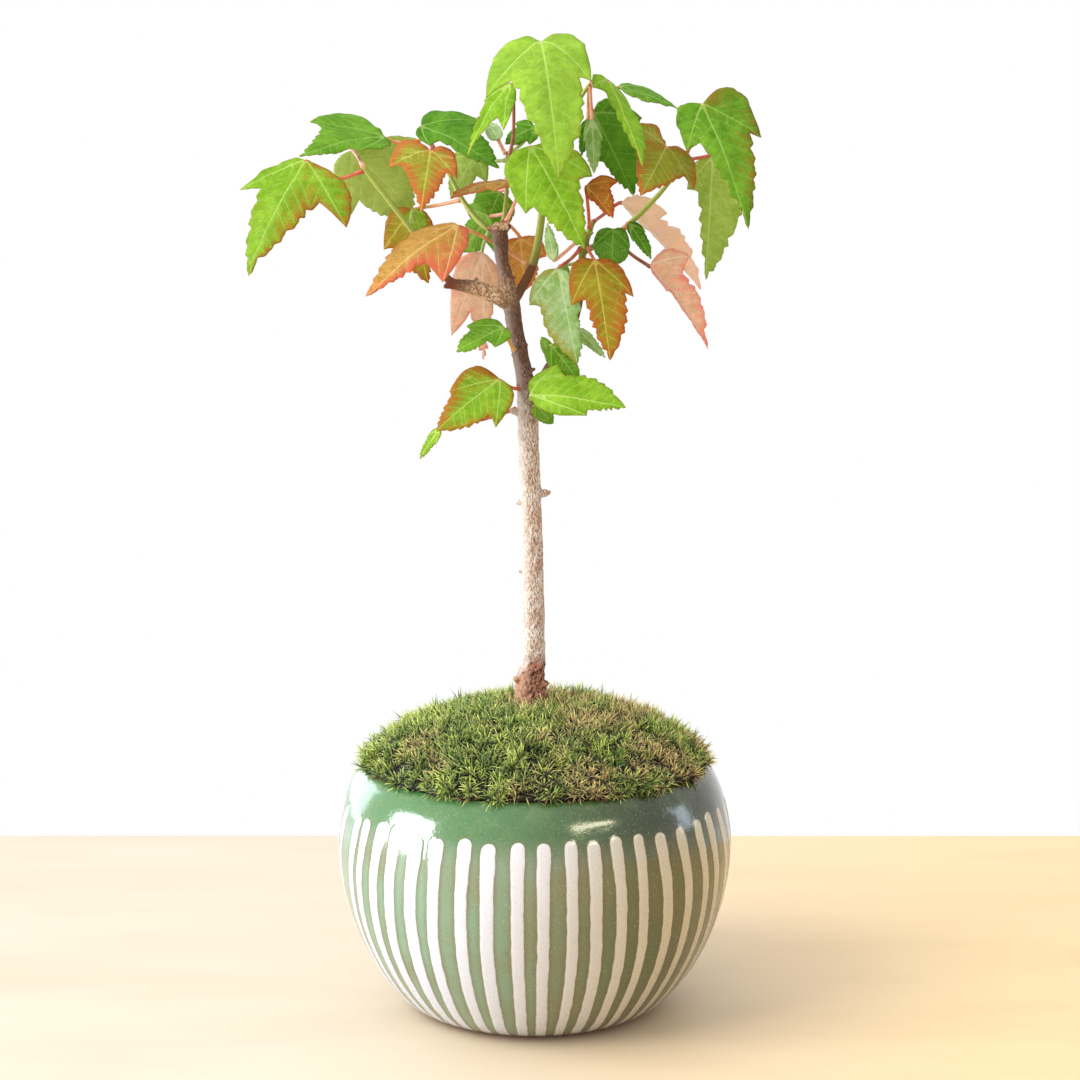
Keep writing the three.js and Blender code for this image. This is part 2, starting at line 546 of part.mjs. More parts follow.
function makeMoss() {
  const underside = SOIL_TOP + CLEARANCE;
  const onLip = POT_HEIGHT + CLEARANCE;
  const edge = [
    [LIP_INNER_RADIUS - CLEARANCE, underside],
    [LIP_INNER_RADIUS - CLEARANCE, POT_HEIGHT - 0.9],
    [LIP_RADIUS - 1.5, onLip - 0.05],
    [MOSS_RADIUS - 0.6, onLip],
    [MOSS_RADIUS, onLip + 0.6],
  ];
  const section = [[0, underside], ...edge];
  for (let i = 1; i <= MOSS_RINGS; i += 1) {
    const radius = MOSS_RADIUS * (1 - (i / MOSS_RINGS) ** 1.3);
    section.push([radius, onLip + 0.6]);
  }
  const cushion = turned(section, MOSS_SIDES);
  const places = cushion.getAttribute("position");
  for (let i = 0; i < places.count; i += 1) {
    if (places.getZ(i) > onLip + 0.5) {
      places.setZ(i, places.getZ(i) + mossDome(places.getX(i), places.getY(i)));
    }
  }
  const hole = toSolid(post(TRUNK_FOOT, ROOT_HOLE_RADIUS, SOIL_TOP, POT_HEIGHT + 2 * MOSS_HEIGHT, HOLE_SIDES));
  return piece("moss", toGeometry(toSolid(cushion).subtract(hole)), "#7c8348", 1);
}

// ---- Wood ----

function limbCurve(stations) {
  return new THREE.CatmullRomCurve3(stations.map(([x, y, z]) => new THREE.Vector3(x, y, z)));
}

function limbRadius(stations, share) {
  const place = share * (stations.length - 1);
  const before = Math.min(Math.floor(place), stations.length - 2);
  return THREE.MathUtils.lerp(stations[before][3], stations[before + 1][3], place - before);
}

// A round rod of changing thickness, bent along its stations
function limb(stations, sides, steps) {
  const curve = limbCurve(stations);
  const frames = curve.computeFrenetFrames(steps);
  const rod = new THREE.CylinderGeometry(1, 1, 1, sides, steps);
  const places = rod.getAttribute("position");
  for (let i = 0; i < places.count; i += 1) {
    const step = Math.round((places.getY(i) + 0.5) * steps);
    const radius = limbRadius(stations, curve.getUtoTmapping(step / steps));
    const place = curve.getPointAt(step / steps);
    place.addScaledVector(frames.binormals[step], radius * places.getX(i));
    place.addScaledVector(frames.normals[step], radius * places.getZ(i));
    places.setXYZ(i, place.x, place.y, place.z);
  }
  return rod;
}

function limbSteps(stations) {
  return Math.ceil(limbCurve(stations).getLength() / LIMB_STEP);
}

function knotStations({ at, along, length, radius }) {
  const way = vector(along).setLength(length);
  const stations = [];
  for (let i = 0; i <= KNOT_STEPS; i += 1) {
    const share = i / KNOT_STEPS;
    const place = vector(at).addScaledVector(way, share);
    stations.push([...place.toArray(), radius * (1 - 0.45 * share ** 3)]);
  }
  return stations;
}

function makeTree() {
  let wood = toSolid(limb(TRUNK, TRUNK_SIDES, limbSteps(TRUNK)));
  for (const stations of Object.values(TWIGS)) {
    wood = wood.add(toSolid(limb(stations, TWIG_SIDES, limbSteps(stations))));
  }
  for (const knot of KNOTS) {
    wood = wood.add(toSolid(limb(knotStations(knot), TWIG_SIDES, KNOT_STEPS)));
  }
  return piece("tree", toGeometry(wood), "#8a6a52", 0.85);
}

// Points along every limb with the wood's radius there, to see how far a place is from the bark
const WOOD_SAMPLES = [TRUNK, ...Object.values(TWIGS), ...KNOTS.map(knotStations)].flatMap((stations) => {
  const curve = limbCurve(stations);
  const count = Math.ceil(curve.getLength() * 2);
  const samples = [];
  for (let i = 0; i <= count; i += 1) {
    samples.push({ place: curve.getPoint(i / count), radius: limbRadius(stations, i / count) });
  }
  return samples;
});

function nearestAxis(place) {
  let nearest = WOOD_SAMPLES[0].place;
  for (const sample of WOOD_SAMPLES) {
    if (sample.place.distanceTo(place) < nearest.distanceTo(place)) {
      nearest = sample.place;
    }
  }
  return nearest.clone();
}

function gapToWood(place) {
  return Math.min(...WOOD_SAMPLES.map((sample) => sample.place.distanceTo(place) - sample.radius));
}

// ---- Leaves ----

// A toothed stretch of the margin: each tooth's tip stands on the curve, and the dents lie inside it
function toothed(start, middle, end, teeth, depth) {
  const ends = start.clone().add(end);
  const control = middle.clone().multiplyScalar(2).addScaledVector(ends, -0.5);
  const curve = new THREE.QuadraticBezierCurve(start, control, end);
  const points = [];
  for (let i = 0; i < teeth; i += 1) {
    points.push(curve.getPoint((i + TOOTH_TIP) / teeth));
    if (i < teeth - 1) {
      const dent = curve.getPoint((i + 0.98) / teeth);
      const ahead = curve.getPoint((i + 1.1) / teeth).sub(dent).normalize();
      points.push(new THREE.Vector2(dent.x - ahead.y * depth, dent.y + ahead.x * depth));
    }
  }
  return points;
}

// Triangles between two chains of points that share both their ends
function strip(one, other) {
  const triangles = [[one[0], one[1], other[1]]];
  const last = one.length - 2;
  const otherLast = other.length - 2;
  let i = 1;
  let j = 1;
  while (i < last || j < otherLast) {
    const shorter = i < last && one[i + 1].distanceTo(other[j]) < one[i].distanceTo(other[j + 1]);
    if (shorter || j === otherLast) {
      triangles.push([one[i], one[i + 1], other[j]]);
      i += 1;
    } else {
      triangles.push([one[i], other[j + 1], other[j]]);
      j += 1;
    }
  }
  return [...triangles, [one[i], other[j], one.at(-1)]];
}

// A flat half of a blade, as a right half: its margin, and triangles that keep to its ribs
function halfBlade(form, own) {
  const shape = SHAPES[form.shape];
  const points = Array.isArray(own) ? own : shape.half.map(([x, y]) => [x * own, y]);
  const [shoulderMiddle, lobe, notch, bellyMiddle] = points.map(flat);
  const stalk = new THREE.Vector2(0, 0);
  const tip = new THREE.Vector2(0, 1);
  const innerMiddle = lobe.clone().add(notch).multiplyScalar(0.5);
  const shoulder = toothed(stalk, shoulderMiddle, lobe, shape.teeth[0], TOOTH_DEPTH);
  const inner = toothed(lobe, innerMiddle, notch, shape.teeth[1], 0);
  const belly = toothed(notch, bellyMiddle, tip, shape.teeth[2], TOOTH_DEPTH);
  const sideRib = SIDE_RIB_STATIONS.map((share) => lobe.clone().multiplyScalar(share));
  const midrib = MIDRIB_STATIONS.map((share) => new THREE.Vector2(0, share));
  const underLobe = strip([stalk, ...sideRib, lobe], [stalk, ...shoulder, lobe]);
  const alongMidrib = strip([stalk, ...midrib, tip], [stalk, ...sideRib, notch, ...belly, tip]);
  const lobeFan = [...inner, notch].map((point, i) => [sideRib.at(-1), [lobe, ...inner][i], point]);
  return {
    margin: [...shoulder, lobe, ...inner, notch, ...belly],
    triangles: [...underLobe, ...alongMidrib, ...lobeFan],
  };
}

const mirrored = (point) => new THREE.Vector2(-point.x, point.y);

// Where a point of the flat blade lies on the bent leaf, relative to the foot of the blade
function bentPlace(form, point) {
  const chord = vector(form.tip).sub(vector(form.base));
  const forward = chord.clone().normalize();
  const face = vector(form.face);
  face.addScaledVector(forward, -face.dot(forward)).normalize();
  const side = new THREE.Vector3().crossVectors(face, forward);
  const arch = THREE.MathUtils.degToRad(form.arch);
  const length = (chord.length() * arch) / 2 / Math.sin(arch / 2);
  const slope = arch / 2 - arch * point.y;
  const place = forward.clone().multiplyScalar((Math.sin(arch / 2) - Math.sin(slope)) * (length / arch));
  place.addScaledVector(face, (Math.cos(slope) - Math.cos(arch / 2)) * (length / arch));
  const normal = face.clone().multiplyScalar(Math.cos(slope)).addScaledVector(forward, -Math.sin(slope));
  const turn = THREE.MathUtils.degToRad(form.twist) * (point.y - 0.5);
  const across = side.clone().multiplyScalar(Math.cos(turn)).addScaledVector(normal, Math.sin(turn));
  const up = normal.clone().multiplyScalar(Math.cos(turn)).addScaledVector(side, -Math.sin(turn));
  const fold = THREE.MathUtils.degToRad(form.fold);
  const reach = point.x * length;
  place.addScaledVector(across, reach * Math.cos(fold));
  return place.addScaledVector(up, Math.abs(reach) * Math.sin(fold) - (form.curl * reach * reach) / length);
}

// The blade as a closed sheet: one bent face, thickened to both sides and closed round its margin
function bladeGeometry(form) {
  const halves = [halfBlade(form, form.right), halfBlade(form, form.left)];
  const placings = [(point) => point, mirrored];
  const points = [];
  const indexOf = (point) => {
    const found = points.findIndex((other) => other.distanceTo(point) < 1e-6);
    return found < 0 ? points.push(point) - 1 : found;
  };
  const triangles = [];
  halves.forEach((half, side) => {
    for (const corners of half.triangles) {
      const [a, b, c] = corners.map(placings[side]);
      const [i, j, k] = [a, b, c].map(indexOf);
      const leftTurn = (b.x - a.x) * (c.y - a.y) - (b.y - a.y) * (c.x - a.x) > 0;
      triangles.push(leftTurn ? [i, k, j] : [i, j, k]);
    }
  });
  const sheet = new THREE.BufferGeometry();
  sheet.setFromPoints(points.map((point) => bentPlace(form, point)));
  sheet.setIndex(triangles.flat());
  sheet.computeVertexNormals();
  const places = sheet.getAttribute("position");
  const normals = sheet.getAttribute("normal");
  const corners = [];
  for (const side of [1, -1]) {
    for (let i = 0; i < points.length; i += 1) {
      const place = new THREE.Vector3().fromBufferAttribute(places, i);
      const normal = new THREE.Vector3().fromBufferAttribute(normals, i);
      corners.push(place.addScaledVector(normal, (side * BLADE_THICKNESS) / 2));
    }
  }
  const back = points.length;
  const faces = triangles.flatMap(([i, j, k]) => [i, j, k, i + back, k + back, j + back]);
  const [right, left] = halves.map((half, side) => half.margin.map(placings[side]).map(indexOf));
  const foot = indexOf(new THREE.Vector2(0, 0));
  const tip = indexOf(new THREE.Vector2(0, 1));
  const rim = [foot, ...right, tip, ...left.reverse()];
  rim.forEach((from, place) => {
    const to = rim[(place + 1) % rim.length];
    faces.push(from, to, to + back, from, to + back, from + back);
  });
  const blade = new THREE.BufferGeometry().setFromPoints(corners);
  blade.setIndex(faces);
  return blade;
}

// The stalk runs from clear of the bark, beside its bud, to the midrib just inside the blade
function stalkStations(form) {
  const base = vector(form.base);
  const bud = nearestAxis(vector(form.bud)).sub(base);
  const [foot, ahead, left, right] = [[0, 0], [0, 0.01], [-0.01, 0], [0.01, 0]].map(([across, along]) =>
    bentPlace(form, new THREE.Vector2(across, along)),
  );
  const outward = ahead.sub(foot).cross(right.sub(left)).normalize();
  const behind = bud.clone().multiplyScalar(0.5).addScaledVector(outward, -STALK_BEHIND * bud.length());
  const rooted = bentPlace(form, new THREE.Vector2(0, STALK_ROOT));
  const middle = form.via ? vector(form.via).sub(base) : behind;
  const path = new THREE.CatmullRomCurve3([bud, middle, rooted]);
  let start = 0;
  while (gapToWood(path.getPoint(start).add(base)) < STALK_START && start < 0.6) {
    start += 0.005;
  }
  const stations = [];
  for (let i = 0; i <= STALK_STEPS; i += 1) {
    const place = path.getPoint(start + (1 - start) * (i / STALK_STEPS));
    stations.push([...place.toArray(), i === 0 ? STALK_START_RADIUS : STALK_RADIUS]);
  }
  return stations;
}

function makeLeaf(leaf) {
  const form = { ...PLAIN_FORM, ...leaf };
  const blade = toSolid(bladeGeometry(form));
  const stalk = toSolid(limb(stalkStations(form), STALK_SIDES, STALK_STEPS));
  const mesh = piece(leaf.name, toGeometry(blade.add(stalk)), TONES[leaf.tone], 0.55);
  mesh.position.fromArray(leaf.base);
  return mesh;
}

const bonsai = new THREE.Group();
bonsai.add(makePot(), makeDrainNet(), makeSoil(), makeMoss(), makeTree());
bonsai.add(...LEAVES.map(makeLeaf));

export default bonsai;
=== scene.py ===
"""A young trident maple, trained as a bonsai in a striped round pot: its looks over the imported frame.

Lengths here are in millimetres until a mesh is made, where MM turns them into metres.
"""

import random
from math import acos, asin, cos, pi, radians, sin, tau

import bpy
import numpy as np
from mathutils import Matrix, Vector, noise
from mathutils.geometry import delaunay_2d_cdt
from numpy.linalg import norm


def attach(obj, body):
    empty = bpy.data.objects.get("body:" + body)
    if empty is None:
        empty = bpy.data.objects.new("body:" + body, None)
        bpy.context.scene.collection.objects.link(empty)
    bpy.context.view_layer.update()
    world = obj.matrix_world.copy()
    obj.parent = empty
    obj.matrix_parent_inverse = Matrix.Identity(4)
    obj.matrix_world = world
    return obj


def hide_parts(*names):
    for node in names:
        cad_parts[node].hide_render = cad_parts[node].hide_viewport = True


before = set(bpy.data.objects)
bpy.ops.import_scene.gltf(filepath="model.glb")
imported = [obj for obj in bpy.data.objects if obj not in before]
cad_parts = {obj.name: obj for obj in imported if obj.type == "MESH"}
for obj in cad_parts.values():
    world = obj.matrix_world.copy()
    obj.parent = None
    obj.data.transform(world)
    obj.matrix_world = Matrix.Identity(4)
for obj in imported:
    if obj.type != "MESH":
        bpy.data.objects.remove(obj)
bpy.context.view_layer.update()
MM = 0.001


# ---- Camera ----

IMAGE_WIDTH = 1080  # pixels of the photograph, which is square
FOCAL_PIXELS = 2329
SENSOR_WIDTH = 36
CAMERA_PLACE = (1.3, -550, 188)
CAMERA_PITCH = 7.7  # degrees below level


def make_camera():
    lens = bpy.data.cameras.new("camera")
    lens.sensor_width = SENSOR_WIDTH
    lens.lens = SENSOR_WIDTH * FOCAL_PIXELS / IMAGE_WIDTH
    lens.clip_start = 0.01
    lens.clip_end = 20
    camera = bpy.data.objects.new("camera", lens)
    camera.location = Vector(CAMERA_PLACE) * MM
    camera.rotation_euler = (radians(90 - CAMERA_PITCH), 0, 0)
    bpy.context.scene.collection.objects.link(camera)
    bpy.context.scene.camera = camera


# ---- Materials ----

def paint(red, green, blue):
    """A colour as a screen shows it, 0 to 255, turned into the linear colour that a shader takes."""
    parts = [value / 255 for value in (red, green, blue)]
    linear = [part / 12.92 if part < 0.04 else ((part + 0.055) / 1.055) ** 2.4 for part in parts]
    return (*linear, 1)


class Nodes:
    """Short ways to fill a node tree."""

    def __init__(self, tree):
        self.tree = tree
        tree.nodes.clear()

    def node(self, kind, settings=None, **sockets):
        made = self.tree.nodes.new("ShaderNode" + kind)
        for name, value in (settings or {}).items():
            setattr(made, name, value)
        for name, value in sockets.items():
            self.feed(made.inputs[name.replace("_", " ")], value)
        return made

    def feed(self, socket, value):
        if isinstance(value, bpy.types.NodeSocket):
            self.tree.links.new(value, socket)
        else:
            socket.default_value = value

    def blend(self, share, first, second):
        made = self.node("MixShader")
        for socket, value in zip(made.inputs, (share, first.outputs[0], second.outputs[0])):
            self.feed(socket, value)
        return made


class Surface(Nodes):
    """A material and short ways to add nodes to it. Textures are in millimetres of the object."""

    def __init__(self, name):
        self.material = bpy.data.materials.new(name)
        self.material.use_nodes = True
        super().__init__(self.material.node_tree)
        metres = self.node("TexCoord").outputs["Object"]
        self.place = self.maths("MULTIPLY", metres, (1 / MM,) * 3, vector=True)

    def maths(self, operation, *values, vector=False):
        made = self.node("VectorMath" if vector else "Math", {"operation": operation})
        for socket, value in zip(made.inputs, values):
            self.feed(socket, value)
        return made.outputs[0]

    def times(self, first, second):
        return self.maths("MULTIPLY", first, second)

    def plus(self, first, second):
        return self.maths("ADD", first, second)

    def minus(self, first, second):
        return self.maths("SUBTRACT", first, second)

    def value(self, name):
        """A number that the mesh carries at each of its points."""
        return self.node("Attribute", {"attribute_name": name}).outputs["Fac"]

    def texture(self, kind, size, stretch, settings=None, **sockets):
        place = self.maths("MULTIPLY", self.place, stretch, vector=True) if stretch else self.place
        return self.node(kind, settings, Vector=place, Scale=1 / size, **sockets)

    def noise(self, size, detail=2, rough=0.5, stretch=None):
        """Soft random values from 0 to 1, whose patches are about size millimetres across."""
        return self.texture("TexNoise", size, stretch, Detail=detail, Roughness=rough).outputs["Fac"]

    def cells(self, size, feature="F1", stretch=None):
        """Distances in a field of random cells, about size millimetres across."""
        return self.texture("TexVoronoi", size, stretch, {"feature": feature}).outputs["Distance"]

    def ramp(self, value, low, high, start=0, end=1):
        """start where value is low, end where it is high, and a smooth change between."""
        settings = {"interpolation_type": "SMOOTHSTEP"}
        span = dict(From_Min=low, From_Max=high, To_Min=start, To_Max=end)
        return self.node("MapRange", settings, Value=value, **span).outputs["Result"]

    def mix(self, first, second, share, part=None, kind="MIX"):
        """The share of the second colour, times part, over the first. Three numbers go through paint."""
        if part is not None:
            share = self.times(share, part)
        made = self.node("Mix", {"data_type": "RGBA", "blend_type": kind})
        self.feed(made.inputs[0], share)
        for socket, colour in zip(made.inputs[6:8], (first, second)):
            screen = isinstance(colour, tuple) and len(colour) == 3
            self.feed(socket, paint(*colour) if screen else colour)
        return made.outputs[2]

    def bump(self, height, depth):
        """Height is from 0 to 1, and depth is in millimetres."""
        return self.node("Bump", Height=height, Distance=depth * MM, Strength=1.0).outputs["Normal"]

    def finish(self, colour, roughness, normal, glow=None, glow_share=0.0, **constants):
        """A principled shader. glow is the colour of the light that comes through a thin leaf."""
        shader = self.node(
            "BsdfPrincipled", Base_Color=colour, Roughness=roughness, Normal=normal, **constants
        )
        if glow:
            shader = self.blend(glow_share, shader, self.node("BsdfTranslucent", Color=glow, Normal=normal))
        self.node("OutputMaterial", Surface=shader.outputs[0])
        return self.material


# ---- Meshes ----

def make_piece(name, places, faces, materials, values=None, face_material=None, smooth=True):
    """An object from points in millimetres and a list of face arrays, each of one number of corners."""
    mesh = bpy.data.meshes.new(name)
    places = np.asarray(places, float)
    mesh.vertices.add(len(places))
    mesh.vertices.foreach_set("co", (places * MM).ravel())
    groups = [np.asarray(group) for group in faces if len(group)]
    corners = np.concatenate([group.ravel() for group in groups])
    counts = np.concatenate([np.full(len(group), group.shape[1]) for group in groups])
    mesh.loops.add(len(corners))
    mesh.loops.foreach_set("vertex_index", corners.astype(np.int32))
    mesh.polygons.add(len(counts))
    mesh.polygons.foreach_set("loop_start", np.concatenate([[0], np.cumsum(counts)[:-1]]).astype(np.int32))
    for key, numbers in (values or {}).items():
        layer = mesh.attributes.new(key, "FLOAT", "POINT")
        layer.data.foreach_set("value", np.asarray(numbers, np.float32))
    for material in materials:
        mesh.materials.append(material)
    if face_material is not None:
        mesh.polygons.foreach_set("material_index", np.asarray(face_material, np.int32))
    mesh.update(calc_edges=True)
    mesh.validate()
    if smooth:
        mesh.shade_smooth()
    piece = bpy.data.objects.new(name, mesh)
    bpy.context.scene.collection.objects.link(piece)
    return piece


def declare(piece, slot, *nodes):
    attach(piece, "root")
    if nodes:
        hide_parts(*nodes)


def ring_faces(first, second):
    """Quads between two equal closed rows of point numbers."""
    return np.stack([first, np.roll(first, -1), np.roll(second, -1), second], axis=1)


def fields(points, size, seed):
    """Soft random values from about -1 to 1 at each point, in patches about size millimetres across."""
    shift = Vector((seed * 17.3, seed * 5.1, seed * 9.7))
    return np.array([noise.noise(Vector(point) / size + shift) for point in points])


def unit(rows):
    """Each row of numbers, 1 long."""
    return rows / norm(rows, axis=1, keepdims=True)


def full_turn(count):
    """Angles at even steps round a whole turn."""
    return np.arange(count) * tau / count


def around(turn, radius, height):
    """Points round the pot's axis, where a turn of 0 is in front."""
    return np.stack([radius * np.sin(turn), -radius * np.cos(turn), height + 0 * turn], axis=-1)


def sew(rows):
    """Quads between each row of point numbers and the next."""
    return np.vstack([ring_faces(first, second) for first, second in zip(rows, rows[1:])])


def smooth_step(value, low, high):
    share = np.clip((value - low) / (high - low), 0, 1)
    return share * share * (3 - 2 * share)


def curve_points(stations, shares):
    """Points on the centripetal Catmull-Rom curve through the stations, which the CAD model uses too."""
    knots = np.asarray(stations, float)
    knots = np.vstack([2 * knots[0] - knots[1], knots, 2 * knots[-1] - knots[-2]])
    found = []
    for share in shares:
        place = min(max(share, 0), 1) * (len(knots) - 3)
        index = min(int(place), len(knots) - 4)
        t = place - index
        before, start, end, after = knots[index:index + 4]
        pairs = ((before, start), (start, end), (end, after))
        gaps = [max(norm(far - near), 1e-4) ** 0.5 for near, far in pairs]
        leave = (start - before) / gaps[0] - (end - before) / (gaps[0] + gaps[1]) + (end - start) / gaps[1]
        reach = (end - start) / gaps[1] - (after - start) / (gaps[1] + gaps[2]) + (after - end) / gaps[2]
        leave, reach = leave * gaps[1], reach * gaps[1]
        found.append(
            start + leave * t + (3 * (end - start) - 2 * leave - reach) * t ** 2
            + (2 * (start - end) + leave + reach) * t ** 3
        )
    return np.array(found)


def tube(path, radii, sides):
    """A closed round rod along a path: its points, quads and triangles."""
    path = np.asarray(path, float)
    ways = unit(np.gradient(path, axis=0))
    side = np.cross(ways[0], (0.31, 0.87, 0.38))
    angles = full_turn(sides)
    points = []
    for place, way, radius in zip(path, ways, radii):
        side = side - way * side.dot(way)
        side /= norm(side)
        other = np.cross(way, side)
        points.append(place + radius * (np.outer(np.cos(angles), side) + np.outer(np.sin(angles), other)))
    rows = np.arange(len(path) * sides).reshape(len(path), sides)
    points += [path[:1] - ways[0] * radii[0] * 0.4, path[-1:] + ways[-1] * radii[-1] * 0.4]
    caps = np.vstack([
        np.stack([np.roll(rows[0], -1), rows[0], np.full(sides, rows.size)], axis=1),
        np.stack([rows[-1], np.roll(rows[-1], -1), np.full(sides, rows.size + 1)], axis=1),
    ])
    return np.vstack(points), sew(rows), caps


def gather(shapes):
    """Several (points, quads, triangles) shapes as one."""
    starts = np.cumsum([0] + [len(points) for points, _, _ in shapes])
    moved = [(points, quads + start, caps + start) for (points, quads, caps), start in zip(shapes, starts)]
    return [np.vstack(group) for group in zip(*moved)]


# ---- Pot ----

POT_RADIUS = 47.5
POT_WIDEST_AT = 40
POT_HEIGHT = 59.6
LIP_RADIUS = 40.3
LIP_INNER_RADIUS = 38.2
FOOT_RADIUS = 25
WALL = 4
FLOOR = 5
LOWER_ROUNDNESS = 1.71
UPPER_ROUNDNESS = 1.75
DRAIN_HOLES = 3
DRAIN_HOLE_RADIUS = 3.5
DRAIN_HOLE_CIRCLE = 13
DRAIN_HOLE_SIDES = 32
LIP_LINE = [(39.8, 59.62), (39.2, 59.4), (38.7, 59.05), (38.4, 58.6), (38.25, 58.1)]  # radius and height
POT_COLUMNS = 616
OUTSIDE_ROWS = 128
# Middles of the stripes that the photograph shows, in degrees to the right of the front
FRONT_STRIPES = [
    -81.2, -68.2, -61.7, -53.5, -46.4, -38, -30.4, -21.4, -13.7, -4.95,
    2.65, 10.9, 18.1, 25.75, 33.1, 41.5, 50.3, 59.4, 67.2, 76.3,
]
BACK_STRIPES = 24
STRIPE_HALF_WIDTH = 1.42  # at the pot's widest line
STRIPE_TOP = 51.9
STRIPE_GATHER = 0.08  # how far the stripes in front draw together towards their tops, as part of their angle
STRIPE_TURN = 82  # degrees from the front where they draw together most; none do at the back
STRIPE_RELIEF = 0.17
STRIPE_REACH = 12  # degrees beside its middle, within which a stripe is drawn
NO_STRIPE = -9.0  # stands for far from any stripe
CLAY_LINE = 1.1  # the foot is bare below this height


def belly_radius(height, bottom, foot, widest, lip, top):
    """The radius of the pot's outside or inside at a height."""
    if height <= POT_WIDEST_AT:
        share = min(max((POT_WIDEST_AT - height) / (POT_WIDEST_AT - bottom), 0), 1)
        angle = acos(share ** (LOWER_ROUNDNESS / 2))
        return foot + (widest - foot) * sin(angle) ** (2 / LOWER_ROUNDNESS)
    share = min(max((height - POT_WIDEST_AT) / (top - POT_WIDEST_AT), 0), 1)
    angle = asin(share ** (UPPER_ROUNDNESS / 2))
    return lip + (widest - lip) * max(cos(angle), 0) ** (2 / UPPER_ROUNDNESS)


def belly_line(bottom, foot, widest, lip, top, rows):
    """Points (radius, height) at even distances along a side of the pot."""
    heights = bottom + (top - bottom) * (1 - np.cos(np.linspace(0, pi, 900))) / 2
    radii = np.array([belly_radius(height, bottom, foot, widest, lip, top) for height in heights])
    length = np.concatenate([[0], np.cumsum(np.hypot(np.diff(radii), np.diff(heights)))])
    wanted = np.linspace(0, length[-1], rows)
    return np.stack([np.interp(wanted, length, radii), np.interp(wanted, length, heights)], axis=1)


def stripe_angles():
    draw = random.Random(44)
    first, last = FRONT_STRIPES[-1], FRONT_STRIPES[0] + 360
    pitch = (last - first) / (BACK_STRIPES + 1)
    back = [first + pitch * (i + 1) + draw.uniform(-0.8, 0.8) for i in range(BACK_STRIPES)]
    return np.array(FRONT_STRIPES + back)


def stripe_distance(columns, radii, heights, lengths):
    """How far each point of the outside lies inside the edge of the nearest stripe, in millimetres."""
    draw = random.Random(7)
    inside = np.full((len(heights), len(columns)), NO_STRIPE)
    for angle in stripe_angles():
        broad = 1.12 if -75 < angle < -10 else 1
        width = STRIPE_HALF_WIDTH * broad * draw.uniform(0.9, 1.1)
        from_front = (angle + 180) % 360 - 180
        bends = (-180, -STRIPE_TURN, STRIPE_TURN, 180)
        gather_angle = radians(STRIPE_GATHER * np.interp(from_front, bends, (0, *bends[1:3], 0)))
        top = STRIPE_TOP + draw.uniform(-0.7, 0.7)
        shift = draw.uniform(0, 100)
        lean = draw.uniform(-0.4, 0.4)
        top_length = np.interp(top, heights, lengths)
        away = (columns - angle + 180) % 360 - 180
        near = np.abs(away) < STRIPE_REACH
        for row, (radius, height, length) in enumerate(zip(radii, heights, lengths)):
            sway = 0.35 * noise.noise((length / 17, shift, 0)) + lean * (height / POT_HEIGHT - 0.5)
            sway -= gather_angle * radius * smooth_step(height, 18, 55)
            offset = np.radians(away[near]) * radius - sway
            rough = [
                0.16 * noise.noise((length / 3.1, shift, side))
                + 0.08 * noise.noise((length / 0.9, shift, side))
                for side in (1, 2)
            ]
            bulge = 1 + 0.12 * np.exp(-(((top_length - length - 4) / 4) ** 2))
            half = width * bulge * (0.55 + 0.45 * radius / POT_RADIUS) + np.where(offset > 0, *rough)
            beyond = length - (top_length - width)
            span = np.abs(offset) if beyond < 0 else np.hypot(offset, beyond)
            inside[row, near] = np.maximum(inside[row, near], half - span)
    return inside


